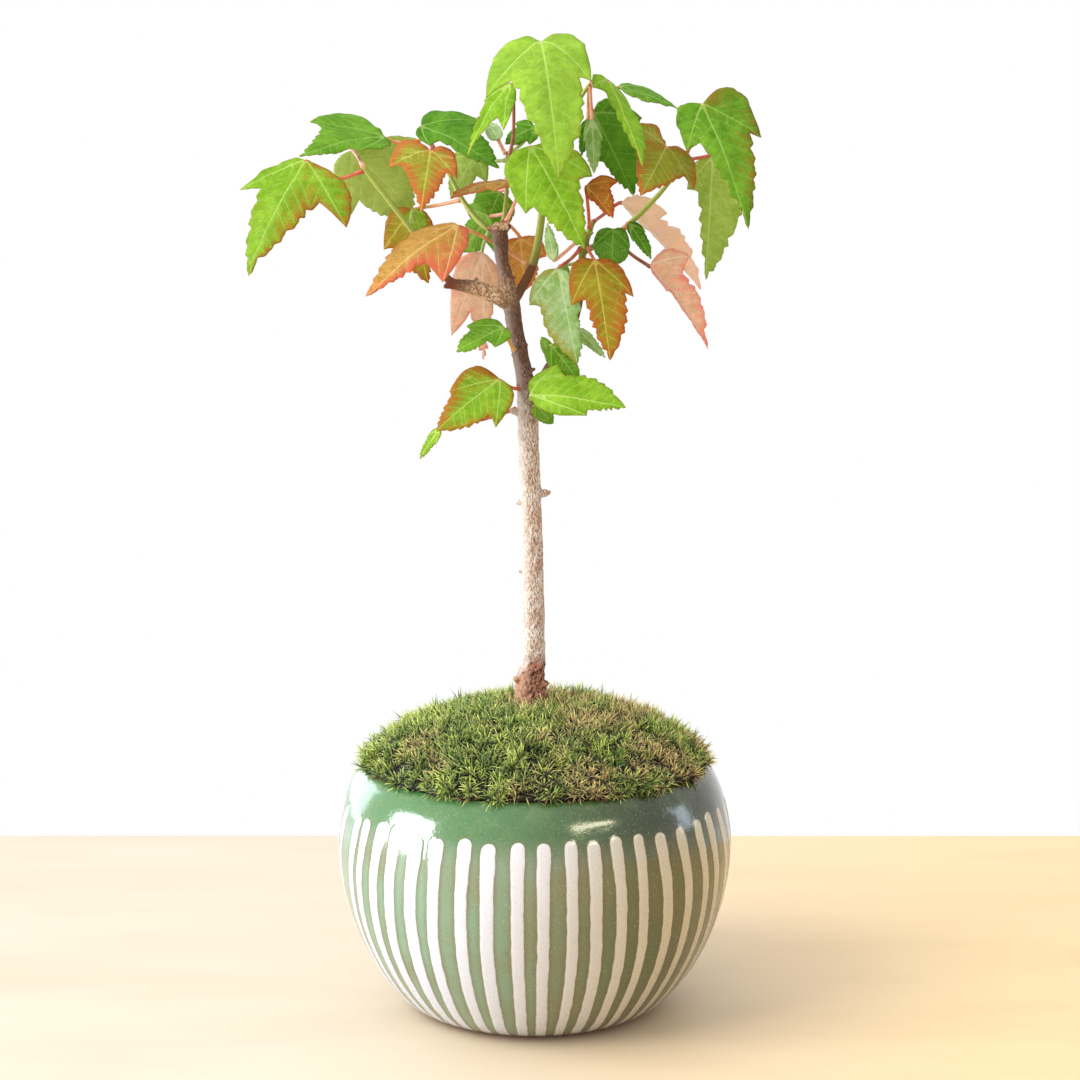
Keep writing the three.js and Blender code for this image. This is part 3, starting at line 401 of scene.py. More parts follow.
def glaze_material():
    look = Surface("glaze_striped")
    stripe = look.value("stripe")
    height = look.value("height")
    soft = look.noise(14, 3)
    cloud = look.noise(5, 4, 0.6)
    fine = look.noise(0.45, 3, 0.7)
    # side runs from the pot's left to its right. The colours mixed by right below are painted light: a pale
    # bluish green on the left is a painted window reflection, and a darker olive on the right is painted
    # shade and a painted reflection of the floor.
    side = look.value("side")
    right = look.ramp(side, -0.75, 0.85)
    body = look.mix((128, 162, 136), (90, 100, 60), right)
    body = look.mix(body, (126, 116, 80), look.ramp(soft, 0.34, 0.72), 0.55)
    rim = look.mix((78, 126, 74), (52, 62, 30), right)
    rim = look.mix(rim, (110, 136, 84), look.ramp(cloud, 0.45, 0.75), 0.35)
    high = look.ramp(look.plus(height, look.times(cloud, 5)), 48, 56)
    green = look.mix(body, rim, high)
    rust = look.ramp(look.plus(stripe, look.times(cloud, -0.6)), -1.6, -0.25)
    low = look.ramp(height, 55, 48)
    green = look.mix(green, (112, 86, 54), look.times(rust, low), 0.4)
    # Painted shade: the right side of the glaze is multiplied darker and browner.
    green = look.mix(green, (0.66, 0.62, 0.5, 1), look.ramp(side, -0.2, 0.7), kind="MULTIPLY")
    green = look.mix(green, (196, 205, 160), look.ramp(fine, 0.6, 0.74), 0.45)
    green = look.mix(green, (40, 50, 28), look.ramp(fine, 0.42, 0.3), 0.45)
    pinholes = look.cells(1.5)
    grit = look.ramp(pinholes, 0.09, 0.05)
    # The stripes are painted bluish white on the left as a painted window reflection, and beige on the right
    # as painted shade and a painted reflection of the floor.
    white = look.mix((216, 222, 240), (176, 162, 116), right, 0.85)
    white = look.mix(white, (206, 194, 178), look.ramp(cloud, 0.5, 0.8), 0.4)
    white = look.mix(white, (170, 148, 116), look.ramp(stripe, 0.2, 0.0, 0, 0.5))
    shared = look.mix(green, white, look.ramp(stripe, -0.03, 0.07))
    shared = look.mix(shared, (104, 74, 50), grit, 0.7)
    smudge = look.ramp(look.plus(height, look.times(cloud, -3)), 0.6, -0.4)
    shared = look.mix(shared, (120, 84, 54), smudge, 0.75)
    bare = look.ramp(height, CLAY_LINE + 0.1, CLAY_LINE - 0.25)
    clay = look.mix((166, 122, 84), (112, 76, 50), look.ramp(fine, 0.35, 0.7))
    colour = look.mix(shared, clay, bare)
    gloss = look.plus(look.ramp(fine, 0.3, 0.75, 0.1, 0.2), look.ramp(stripe, -0.1, 0.3, 0, 0.14))
    roughness = look.maths("MAXIMUM", gloss, look.times(bare, 0.85))
    relief = look.plus(look.times(look.noise(1.1, 3, 0.6), 0.8), look.times(grit, -0.5))
    return look.finish(colour, roughness, look.bump(relief, 0.06), Coat_Weight=0.35, Coat_Roughness=0.1)


def disc_faces(points, outer, holes, upward):
    """Triangles of a flat disc with round holes, from rows of point numbers."""
    numbers = np.concatenate([outer, *holes])
    flat = [Vector(points[i][:2]) for i in numbers]
    edges, start = [], 0
    for row in (outer, *holes):
        edges += [(start + i, start + (i + 1) % len(row)) for i in range(len(row))]
        start += len(row)
    _, _, faces, origins, _, _ = delaunay_2d_cdt(flat, edges, [], 0, 1e-7)
    centres = [Vector(np.mean([points[i][:2] for i in row], axis=0)) for row in holes]
    kept = []
    for face in faces:
        corners = [origins[i][0] for i in face]
        a, b, c = (flat[i] for i in corners)
        middle = sum((a, b, c), Vector((0, 0))) / 3
        if all((middle - centre).length > DRAIN_HOLE_RADIUS * 0.98 for centre in centres):
            left_turn = (b - a).cross(c - a) > 0
            kept.append([numbers[i] for i in (corners if left_turn == upward else corners[::-1])])
    return np.array(kept)


def pot_wobble(turn, heights):
    """How far the outside is off round, as on a pot turned by hand."""
    circle = np.stack([np.sin(turn), -np.cos(turn)], axis=1) * 2.2
    wobble = [
        0.34 * noise.noise((x, y, height / 24)) + 0.05 * noise.noise((x * 4, y * 4, height / 3))
        for height in heights for x, y in circle
    ]
    return np.reshape(wobble, (len(heights), len(turn)))


def outside_shift(outside, turn, stripe):
    """How far the outside's points lie out along its face: stripes, the grooves beside them and wobble."""
    ease = smooth_step(outside[:, 1], 0.6, 4) * smooth_step(outside[:, 1], 59.6, 58.2)
    raised = STRIPE_RELIEF * smooth_step(stripe, -0.25, 0.55)
    groove = -0.05 * np.exp(-(((stripe + 0.25) / 0.2) ** 2))
    wobble = pot_wobble(turn, outside[:, 1]) * smooth_step(outside[:, 1], 0, 6)[:, None]
    return (raised + groove + wobble) * ease[:, None]


def drain_rims(height):
    """The rims of the drain holes at a height, each a row of points."""
    angles = full_turn(DRAIN_HOLE_SIDES)
    circle = DRAIN_HOLE_RADIUS * np.stack([np.cos(angles), np.sin(angles)], axis=1)
    rims = []
    for i in range(DRAIN_HOLES):
        middle = radians(120 * (i + 0.25))
        centre = DRAIN_HOLE_CIRCLE * np.array([cos(middle), sin(middle)])
        rims.append(np.column_stack([centre + circle, np.full(DRAIN_HOLE_SIDES, height)]))
    return rims


def make_pot():
    outside = belly_line(0, FOOT_RADIUS, POT_RADIUS, LIP_RADIUS, POT_HEIGHT, OUTSIDE_ROWS)
    inside = belly_line(FLOOR, FOOT_RADIUS - 1, POT_RADIUS - WALL, LIP_INNER_RADIUS, POT_HEIGHT - 2, 12)[::-1]
    line = np.vstack([outside, LIP_LINE, inside])
    columns = np.arange(POT_COLUMNS) * 360 / POT_COLUMNS - 180
    lengths = np.concatenate([[0], np.cumsum(np.hypot(*np.diff(outside, axis=0).T))])
    stripe = np.full((len(line), POT_COLUMNS), NO_STRIPE)
    stripe[:OUTSIDE_ROWS] = stripe_distance(columns, *outside.T, lengths)
    turn = np.radians(columns)
    radii = np.repeat(line[:, :1], POT_COLUMNS, axis=1)
    heights = np.repeat(line[:, 1:], POT_COLUMNS, axis=1)
    slope = unit(np.gradient(outside, axis=0))
    shift = outside_shift(outside, turn, stripe[:OUTSIDE_ROWS])
    radii[:OUTSIDE_ROWS] += shift * slope[:, 1:]
    heights[:OUTSIDE_ROWS] -= shift * slope[:, :1]
    wall = around(turn, radii, heights).reshape(-1, 3)
    rims = drain_rims(0) + drain_rims(FLOOR)
    points = np.vstack([wall, *rims])
    rows = np.arange(len(wall)).reshape(len(line), POT_COLUMNS)
    rim_rows = np.arange(len(wall), len(points)).reshape(len(rims), DRAIN_HOLE_SIDES)
    under, over = rim_rows[:DRAIN_HOLES], rim_rows[DRAIN_HOLES:]
    quads = np.vstack([sew(rows), *(ring_faces(high, low) for low, high in zip(under, over))])
    triangles = np.vstack([
        disc_faces(points, rows[0], under, False),
        disc_faces(points, rows[-1], over, True),
    ])
    values = {
        "stripe": np.append(stripe, np.full(len(points) - len(wall), NO_STRIPE)),
        "height": points[:, 2],
        # side, how far left or right a point lies, sets the glaze's painted light on the left and painted
        # shade on the right
        "side": points[:, 0] / POT_RADIUS,
    }
    declare(make_piece("pot_glazed", points, [quads, triangles], [glaze_material()], values), "glaze", "pot")


# ---- Soil and drain net ----

CRUMBS = 150
CRUMB_ROWS = 5
CRUMB_SIDES = 7


def soil_material():
    look = Surface("soil_crumbs")
    grains = look.cells(1.3)
    tint = look.noise(1.6, 3, 0.6)
    colour = look.mix((96, 66, 48), (168, 104, 74), look.ramp(tint, 0.35, 0.65))
    colour = look.mix(colour, (50, 36, 28), look.ramp(grains, 0.35, 0.7))
    colour = look.mix(colour, (206, 168, 132), look.ramp(look.noise(0.5, 2), 0.66, 0.78))
    return look.finish(colour, 0.92, look.bump(look.minus(look.noise(0.6, 4, 0.7), grains), 0.3))


def net_material():
    look = Surface("drain_net_plastic")
    colour = look.mix((38, 40, 42), (70, 72, 72), look.noise(3, 3))
    roughness = look.ramp(look.noise(1, 2), 0.3, 0.7, 0.45, 0.62)
    return look.finish(colour, roughness, look.bump(look.noise(0.3, 2), 0.03))


def dress_cad(node, material):
    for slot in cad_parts[node].material_slots:
        slot.material = material


def crumb(centre, size, draw):
    """A small angular grain of soil."""
    points = []
    for i in range(1, CRUMB_ROWS):
        tilt = pi * i / CRUMB_ROWS
        for k in range(CRUMB_SIDES):
            turn = tau * (k + 0.5 * (i % 2)) / CRUMB_SIDES
            points.append((sin(tilt) * cos(turn), sin(tilt) * sin(turn), cos(tilt)))
    points = np.array([(0, 0, 1), *points, (0, 0, -1)])
    points *= 1 + 0.3 * fields(points, 0.7, draw.uniform(0, 50))[:, None]
    stretch = np.array([draw.uniform(0.7, 1.3), draw.uniform(0.7, 1.3), draw.uniform(0.6, 0.9)])
    turned = np.array(Matrix.Rotation(draw.uniform(0, tau), 3, draw.choice("XYZ")))
    points = (points * stretch * size) @ turned.T + centre
    rings = np.arange(1, len(points) - 1).reshape(CRUMB_ROWS - 1, CRUMB_SIDES)
    quads = np.vstack([ring_faces(rings[i + 1], rings[i]) for i in range(CRUMB_ROWS - 2)])
    top, low = rings[0], rings[-1]
    caps = np.vstack([
        np.stack([0 * top, top, np.roll(top, -1)], axis=1),
        np.stack([0 * low + len(points) - 1, np.roll(low, -1), low], axis=1),
    ])
    return points, quads, caps


def make_crumbs(material):
    draw = random.Random(12)
    grains = []
    while len(grains) < CRUMBS:
        angle = draw.uniform(0, tau)
        if noise.noise((3 * cos(angle), 3 * sin(angle), 4.2)) < draw.uniform(-0.5, 0.4):
            continue
        size = draw.uniform(0.28, 0.75)
        radius = draw.uniform(39.2, 40.9)
        height = POT_HEIGHT + 0.55 * size + 0.2 - 0.9 * max(0, radius - 40.1)
        grains.append(crumb((radius * sin(angle), -radius * cos(angle), height), size, draw))
    points, quads, triangles = gather(grains)
    declare(make_piece("soil_crumbs", points, [quads, triangles], [material], smooth=False), "soil")


# ---- Moss ----

MOSS_RADIUS = 40.2
MOSS_BASE = 60.3
MOSS_HEIGHT = 12.6  # of the cushion under the sprigs
TRUNK_FOOT = (-1, 0)
ROOT_HOLE_RADIUS = 4.3
MOSS_FLOOR = 56.3
MOSS_EDGE = [(37.9, MOSS_FLOOR), (37.9, 58.6), (38.7, 59.8), (40.3, 59.95), (MOSS_RADIUS, MOSS_BASE)]
SPRIGS = 2150
SPRIG_PIECES = 4
SPRIG_BLADES = (13, 20)
BLADE_LENGTHS = (1.9, 3.7)
BLADE_WIDTHS = (0.11, 0.17)
BLADE_SPREADS = (28, 66)  # degrees off the sprig's stem, less towards its top
BLADE_BENDS = (-25, 85)  # degrees that a blade bends outward from its foot to its point
BLADE_SHARES = (0, 0.34, 0.68, 1)  # where a sprig's blade has its three-cornered rings, and its point
BLADE_THICKNESSES = (0.75, 1.0, 0.62, 0)  # at those places, against its width
BLADE_POINTS = 10
# Root, green, bright green, straw and tip of the moss's blades. The cushion's colours are all dark: painted
# shade under the sprigs.
CUSHION_COLOURS = ((20, 16, 9), (34, 34, 15), (48, 50, 22), (52, 40, 25), (58, 58, 28))
# The sprigs' near-black root is partly the stems' own brown and partly painted shade deep among the sprigs;
# their pale tip is partly the tips' own colour and partly a painted highlight.
SPRIG_COLOURS = ((22, 18, 9), (96, 136, 30), (196, 228, 60), (210, 176, 114), (242, 246, 146))
GOLDEN_TURN = pi * (3 - 5 ** 0.5)


def moss_height(x, y):
    reach = np.minimum(1, np.hypot(x, y) / MOSS_RADIUS)
    dome = MOSS_HEIGHT * np.maximum(0, 1 - reach ** 2.6) ** 0.85
    wave = tau / 8
    tufts = np.sin(wave * x + 1.7 * np.sin(0.31 * y)) * np.sin(wave * y + 1.9 * np.sin(0.27 * x))
    return MOSS_BASE + dome + (1 - reach ** 4) * (0.55 * tufts + 0.02 * x)


def moss_material(name, root, green, bright, straw, tip):
    look = Surface(name)
    along = look.value("along")
    tint = look.value("tint")
    patch = look.value("patch")
    blade = look.mix(green, bright, look.ramp(tint, 0.25, 0.9))
    blade = look.mix(blade, straw, look.ramp(look.plus(patch, look.times(tint, 0.5)), 0.62, 0.95))
    blade = look.mix(blade, tip, look.times(look.ramp(along, 0.55, 1), look.ramp(tint, 0.1, 0.8)))
    # Each blade darkens to the root colour at its foot: painted shade among the sprigs, and the stems' own
    # brown.
    colour = look.mix(root, blade, look.ramp(along, 0.2, 0.8))
    streak = look.bump(look.noise(0.25, 2, 0.6), 0.03)
    return look.finish(colour, 0.62, streak, Specular_IOR_Level=0.3, Sheen_Weight=0.15)


def make_moss():
    turn = full_turn(240)
    rows = [around(turn, radius, height) for radius, height in MOSS_EDGE]
    rim = rows[-1]
    hole = around(turn, ROOT_HOLE_RADIUS, 0) + (*TRUNK_FOOT, 0)
    for share in np.linspace(1, 0, 64)[1:] ** 0.8:
        ring = hole + (rim - hole) * share
        ring[:, 2] = moss_height(ring[:, 0], ring[:, 1])
        ring[:, 2] += 0.5 * fields(ring, 1.3, 3) * (1 - share ** 6)
        rows.append(ring)
    rows.append(ring * (1, 1, 0) + (0, 0, MOSS_FLOOR))
    points = np.vstack(rows)
    numbers = np.arange(len(points)).reshape(len(rows), -1)
    material = moss_material("moss_cushion", *CUSHION_COLOURS)
    values = {
        "along": smooth_step(fields(points, 2.2, 8), -0.5, 0.7) * 0.55,
        "tint": 0.5 + 0.5 * fields(points, 0.9, 9),
        "patch": moss_patches(points),
    }
    quads = sew([*numbers, numbers[0]])
    declare(make_piece("moss_cushion", points, [quads], [material], values), "moss", "moss")
    make_sprigs()


def moss_patches(points):
    """0 where the moss is green and 1 where it is straw-coloured."""
    patches = 0.42 + 0.75 * fields(points, 11, 5) + 0.3 * fields(points, 3.5, 6) + 0.008 * points[:, 0]
    return np.clip(patches, 0, 1)


def sprig_feet(draw):
    """Where the sprigs stand, in a spiral that leaves the trunk's place free, and how far out."""
    count = np.arange(SPRIGS)
    radius = (MOSS_RADIUS + 0.8) * np.sqrt((count + 0.5) / SPRIGS)
    angle = count * GOLDEN_TURN + draw.normal(0, 0.35, SPRIGS) / (1 + radius * 0.3)
    radius = np.clip(radius + draw.normal(0, 0.5, SPRIGS), 0, MOSS_RADIUS + 0.6)
    feet = around(angle, radius, 0)
    keep = np.hypot(*(feet[:, :2] - TRUNK_FOOT).T) > ROOT_HOLE_RADIUS - 0.1
    feet, radius = feet[keep], radius[keep]
    feet[:, 2] = moss_height(feet[:, 0], feet[:, 1]) - 0.5
    return feet, radius


def sprig_ways(feet, radius, draw):
    """The way each sprig grows: off the cushion, combed in patches, and outward near the lip."""
    x, y = feet[:, 0], feet[:, 1]
    step = 0.4
    slope = unit(np.stack([
        moss_height(x - step, y) - moss_height(x + step, y),
        moss_height(x, y - step) - moss_height(x, y + step),
        np.full(len(x), 2 * step),
    ], axis=1))
    comb = np.stack([fields(feet, 6, 11), fields(feet, 6, 12), 0 * x], axis=1)
    outward = np.stack([x, y, 0 * x], axis=1) / MOSS_RADIUS * smooth_step(radius, 35, 40.4)[:, None]
    up = np.array([0, 0, 1.0])
    return unit(0.62 * slope + 0.38 * up + 1.5 * comb + 0.5 * outward + draw.normal(0, 0.36, slope.shape))


def make_sprigs():
    draw = np.random.default_rng(5)
    feet, radius = sprig_feet(draw)
    ways = sprig_ways(feet, radius, draw)
    patches = moss_patches(feet)
    size = draw.uniform(0.8, 1.45, len(feet)) * (1 - 0.12 * patches)
    blades = draw.integers(*SPRIG_BLADES, len(feet))
    owner = np.repeat(np.arange(len(feet)), blades)
    rank = np.concatenate([np.arange(number) for number in blades])
    share = rank / blades[owner]
    spin = draw.uniform(0, tau, len(feet))[owner] + rank * GOLDEN_TURN
    way = ways[owner]
    side = unit(np.cross(way, (0.3, 0.8, 0.5)))
    out = np.cos(spin)[:, None] * side + np.sin(spin)[:, None] * np.cross(way, side)
    across = np.cross(way, out)
    total = len(owner)
    spread = np.radians(draw.uniform(*BLADE_SPREADS, total) * (1.15 - 0.75 * share))
    bend = np.radians(draw.uniform(*BLADE_BENDS, total))
    length = size[owner] * draw.uniform(*BLADE_LENGTHS, total)
    width = size[owner] * draw.uniform(*BLADE_WIDTHS, total)
    place = feet[owner] + way * (0.2 + 1.1 * share * size[owner])[:, None]
    rings = []
    before = 0
    for at, thickness in zip(BLADE_SHARES, BLADE_THICKNESSES):
        tilt = (spread + bend * at)[:, None]
        place = place + (np.cos(tilt) * way + np.sin(tilt) * out) * (length * (at - before))[:, None]
        lift = -np.sin(tilt) * way + np.cos(tilt) * out
        half = (width * thickness)[:, None]
        corners = [place + across * half, place - across * half, place + lift * half * 0.55]
        rings.append(np.stack(corners, axis=1))
        before = at
    points = np.concatenate([*rings[:3], place[:, None]], axis=1)
    quads = sew(np.arange(9).reshape(3, 3))
    triangles = np.array([(6, 7, 9), (7, 8, 9), (8, 6, 9), (0, 2, 1)])
    material = moss_material("moss_sprigs", *SPRIG_COLOURS)
    tint = np.clip(draw.uniform(0, 1, len(feet))[owner] * 0.6 + draw.uniform(0, 0.4, total), 0, 1)
    brown = patches[owner] + draw.normal(0, 0.12, total)
    for part in range(SPRIG_PIECES):
        chosen = owner % SPRIG_PIECES == part
        starts = np.arange(chosen.sum())[:, None, None] * BLADE_POINTS
        faces = [(starts + group).reshape(-1, group.shape[1]) for group in (quads, triangles)]
        values = {
            "along": np.tile(np.repeat((0, 0.4, 0.75, 1), (3, 3, 3, 1)), chosen.sum()),
            "tint": np.repeat(tint[chosen], BLADE_POINTS),
            "patch": np.repeat(brown[chosen], BLADE_POINTS),
        }
        name = f"moss_sprigs_{part + 1}"
        piece = make_piece(name, points[chosen].reshape(-1, 3), faces, [material], values, smooth=False)
        declare(piece, "moss", "moss")


# ---- Wood ----

# Each limb runs through its stations, (x, y, z, radius)
TRUNK = [
    (-1, 0, 45, 3.9), (-1, 0, 60, 3.9), (-1, 0, 72, 3.9), (-1, 0, 77, 3.75), (-0.5, 0, 84.5, 3),
    (-0.5, 0, 100.5, 2.75), (-1, 0, 125.5, 2.5), (-1.5, 0, 140.5, 2.4), (-1.5, 0, 147, 2.7),
    (-2.5, 0, 153.5, 2), (-4.5, 0, 163.5, 1.9), (-5.5, 0, 170, 2.1), (-7.5, 0, 179.5, 1.5),
    (-8, 0, 184.5, 1.9), (-8.5, 0, 188, 1.9),
]
TWIGS = {
    "cut_branch": [(-5.5, 0, 169, 1.5), (-8, -1, 171, 1.9), (-14, -3, 173.5, 1.7), (-19.5, -6, 174.5, 1.2)],
    "left": [(-18, -5, 174, 1), (-21.5, -7, 177, 0.9), (-26.5, -9, 184.5, 0.7), (-39, -12, 201, 0.6)],
    "upper": [
        (-5.5, 0, 169, 1.2), (-0.5, 3, 178.5, 1.1), (1.5, 5, 188.5, 0.9), (3, 6, 205.5, 0.8),
        (3.5, 4, 221.5, 0.5),
    ],
    "crown": [(3, 6, 204.5, 0.7), (9, 5, 215, 0.6), (13.5, 3, 221.5, 0.5)],
    "left_upper": [
        (-8, 0, 186, 0.8), (-12, 1, 188, 0.7), (-17, 4, 194, 0.6), (-21, 7, 201.5, 0.5), (-25.5, 6, 209, 0.5),
    ],
    "knob_shoot": [(-7.5, 0, 186, 0.7), (-6.5, 3, 196, 0.5), (-6.5, 5, 204.5, 0.5)],
    "right": [
        (-1.5, 0, 146, 1.4), (3.5, -1, 155, 1.1), (5, 0, 157.5, 1), (10, 2, 167.5, 0.9), (11.5, 3, 182, 0.9),
        (13.5, 4, 188.5, 0.8),
    ],
    "right_upper": [(12, 3, 182, 0.8), (19.5, 4, 186, 0.7), (29.5, 2, 195.5, 0.6), (35, 1, 203, 0.5)],
}
# Cut stubs, buds and burrs: (place on the wood, way it points, length, radius)
KNOTS = [
    ((-0.5, 0, 124.5), (1, 0, 0.15), 4.3, 1.1), ((-1.5, 0, 122.5), (-1, -0.3, 0.1), 3.2, 0.9),
    ((-1, 0, 106), (-1, -0.5, 0.2), 3.3, 0.8), ((-1.5, 0, 143.5), (-1, -0.2, 0.25), 4.4, 1),
    ((-1.5, 0, 145.5), (0.2, -1, 0.1), 3.2, 1.3), ((-2.5, 0, 153), (1, -0.6, 0.6), 3.4, 0.8),
    ((-3, 0, 156), (-1, -0.4, 0.8), 3.2, 0.7), ((-8, 0, 186.5), (0.7, -0.5, 0.5), 3, 1.2),
    ((-0.5, 0, 78.5), (1, -0.6, 0.2), 4.4, 1.2), ((-1, 0, 79.5), (-1, -0.5, 0.2), 4.5, 1.1),
    ((-0.5, 0, 82), (0.3, -1, 0.2), 3.8, 0.9), ((11.8, 3, 184), (-0.3, -0.5, 1), 2.6, 0.6),
]
# Small buds and spurs that the CAD model is too coarse for
SPURS = [
    ((-1, 0, 76), (0.8, -1, 0.3), 4.6, 0.7), ((-1, 0, 81), (-0.7, -1, 0.5), 3.9, 0.6),
    ((-0.5, 0, 83.5), (0.9, 0.4, 0.5), 3.8, 0.6), ((-0.6, 0, 85), (-1, 0.3, 0.6), 3.7, 0.5),
    ((-1, 0, 78), (0.1, 1, 0.3), 4.6, 0.8), ((-0.5, 0, 96), (0.6, -1, 0.3), 3.2, 0.4),
    ((-0.6, 0, 112), (0.8, -0.7, 0.5), 3, 0.45), ((-0.8, 0, 117), (-0.9, -0.7, 0.2), 2.9, 0.5),
    ((-1.2, 0, 133), (0.9, -0.6, 0.4), 2.9, 0.5), ((-1.3, 0, 137), (-0.8, 0.6, 0.4), 2.9, 0.5),
    ((-1.6, 0, 148.5), (-0.9, -0.6, 0.8), 3.9, 0.55), ((-1.6, 0, 149), (0.5, -1, 0.9), 3.8, 0.6),
    ((-2, 0, 151), (-0.5, -1, 1.2), 3.6, 0.5), ((-3.4, 0, 158.5), (0.9, -0.6, 0.9), 3, 0.5),
    ((-4.4, 0, 163), (-1, -0.5, 0.5), 2.7, 0.5), ((-6.5, 0, 175), (0.9, -0.5, 0.4), 2.5, 0.5),
    ((-8.2, 0, 186), (-1, -0.4, 0.5), 3.1, 0.8), ((-7.9, 0, 183), (-0.6, -1, 0.5), 2.6, 0.5),
    ((11, 2.4, 178), (-1, -0.5, 0.8), 1.8, 0.45), ((11.4, 2.8, 180.5), (-0.8, -0.9, 0.6), 1.8, 0.45),
    ((12.6, 3.4, 185.5), (0.9, -0.6, 0.6), 1.8, 0.45), ((9.4, 1.8, 165), (0.9, -0.5, 0.4), 1.7, 0.45),
    ((-13.5, -2.8, 173.3), (0, -0.4, 1), 2.7, 0.6), ((-16.5, -4.2, 174), (0.1, -1, 0.2), 2.2, 0.5),
    ((-10.5, -1.8, 172.2), (0.2, -0.8, -0.6), 2.5, 0.6), ((-19, -5.7, 174.5), (-0.8, -0.5, -0.3), 2.4, 0.9),
    ((-22.5, -7.3, 178.4), (-1, 0.1, 0.3), 1.5, 0.45), ((-29, -9.6, 187.6), (1, -0.3, 0.6), 1.3, 0.4),
]
CUT_FACES = [((-20.3, -6.4, 174.4), 1.2), ((-10.9, -1.2, 187.5), 1.1)]  # where red wood shows, and its radius
BARK_GRAIN = 0.25  # the size of the grid that the wood is grown together on


def limb_line(stations, shares):
    """Places along a limb, each with the limb's radius there."""
    stations = np.asarray(stations, float)
    radii = np.interp(shares * (len(stations) - 1), np.arange(len(stations)), stations[:, 3])
    return np.column_stack([curve_points(stations[:, :3], shares), radii])


def limb(stations, sides, gap):
    reach = norm(np.diff(np.array(stations)[:, :3], axis=0), axis=1).sum()
    line = limb_line(stations, np.linspace(0, 1, int(reach / gap) + 3))
    return tube(line[:, :3], line[:, 3], sides)


def spur(place, way, length, radius):
    way = np.array(way) / norm(way)
    shares = np.linspace(0, 1, 6)
    path = np.array(place) + np.outer(shares * length, way)
    return tube(path, radius * (1 - 0.5 * shares ** 3), 12)


WOOD_LINES = np.vstack([limb_line(stations, np.linspace(0, 1, 160)) for stations in [TRUNK, *TWIGS.values()]])


def bark_material():
    look = Surface("bark")
    height = look.value("height")
    thick = look.value("thick")
    cork = look.value("cork")
    # lit is painted light: each part of the wood is lighter on its left side, where the light falls.
    lit = look.value("lit")
    green = look.value("green")
    fine = look.noise(0.3, 4, 0.7, stretch=(1, 1, 0.36))
    specks = look.cells(0.42, stretch=(1, 1, 0.45))
    flecks = look.cells(0.8, stretch=(1, 1, 0.3))
    cloud = look.noise(3, 3, 0.6)
    cracks = look.ramp(fine, 0.43, 0.54)
    cream = look.mix((220, 212, 204), (190, 166, 144), look.ramp(cloud, 0.35, 0.7))
    middle = look.mix((138, 102, 82), cream, cracks)
    middle = look.mix(middle, (96, 64, 44), look.ramp(flecks, 0.14, 0.06, 0, 0.8))
    middle = look.mix(middle, (118, 82, 62), look.ramp(specks, 0.1, 0.05, 0, 0.7))
    coarse = look.noise(0.55, 4, 0.65, stretch=(1, 1, 0.6))
    foot = look.mix((72, 40, 32), (172, 118, 90), look.ramp(coarse, 0.42, 0.58))
    foot = look.mix(foot, (196, 150, 118), look.ramp(cloud, 0.6, 0.75, 0, 0.6))
    # Painted light on the left of the foot and of the top of the trunk.
    foot = look.mix(foot, (206, 158, 122), lit, 0.5)
    upper = look.mix((70, 46, 36), (116, 82, 64), look.ramp(fine, 0.38, 0.62))
    upper = look.mix(upper, (178, 160, 148), lit, 0.4)
    upper = look.mix(upper, (206, 180, 150), look.ramp(flecks, 0.16, 0.08, 0, 0.75))
    level = look.plus(height, look.times(cloud, 9))
    level = look.plus(level, look.times(lit, 3))
    # Painted light: the middle of the trunk nearly white on its left side.
    middle = look.mix(middle, (232, 225, 222), lit, 0.55)
    trunk = look.mix(foot, middle, look.ramp(level, 88, 90.5))
    trunk = look.mix(trunk, upper, look.ramp(level, 142, 161))
    shoot = look.mix((108, 68, 42), (142, 160, 66), green)
    # Painted light: the shoots lighter yellow green on their left side.
    shoot = look.mix(shoot, (206, 216, 118), look.times(lit, green))
    shoot = look.mix(shoot, (190, 168, 130), look.ramp(flecks, 0.12, 0.06, 0, 0.6))
    colour = look.mix(shoot, trunk, look.ramp(thick, 1.15, 1.55))
    scaly = look.mix((150, 104, 72), (222, 198, 164), look.ramp(look.noise(0.7, 3, 0.7), 0.42, 0.6))
    colour = look.mix(colour, scaly, cork)
    colour = look.mix(colour, (122, 38, 34), look.value("red"))
    relief = look.plus(fine, look.times(look.ramp(flecks, 0.2, 0.05), -0.4))
    return look.finish(colour, 0.78, look.bump(relief, 0.12), Specular_IOR_Level=0.35)


def read(items, key, numbers):
    """The array numbers, filled from a mesh's points or corners."""
    items.foreach_get(key, numbers.ravel())
    return numbers


def grown_wood():
    """The limbs, knots and spurs grown together into one even mesh: places, normals and quads."""
    rods = [limb(TRUNK, 28, 0.9)]
    rods += [limb(stations, 16, 0.7) for stations in TWIGS.values()]
    rods += [spur(*knot) for knot in KNOTS + SPURS]
    points, quads, triangles = gather(rods)
    rough = make_piece("tree_rods", points, [quads, triangles], [])
    remesh = rough.modifiers.new("union", "REMESH")
    remesh.mode = "VOXEL"
    remesh.voxel_size = BARK_GRAIN * MM
    even = rough.modifiers.new("even", "SMOOTH")
    even.factor = 0.5
    even.iterations = 3
    merged = bpy.data.meshes.new_from_object(rough.evaluated_get(bpy.context.evaluated_depsgraph_get()))
    bpy.data.objects.remove(rough)
    count = len(merged.vertices)
    places = read(merged.vertices, "co", np.empty((count, 3))) / MM
    normals = read(merged.vertices, "normal", np.empty((count, 3)))
    quads = read(merged.loops, "vertex_index", np.empty((len(merged.polygons), 4), np.int32))
    bpy.data.meshes.remove(merged)
    return places, normals, quads


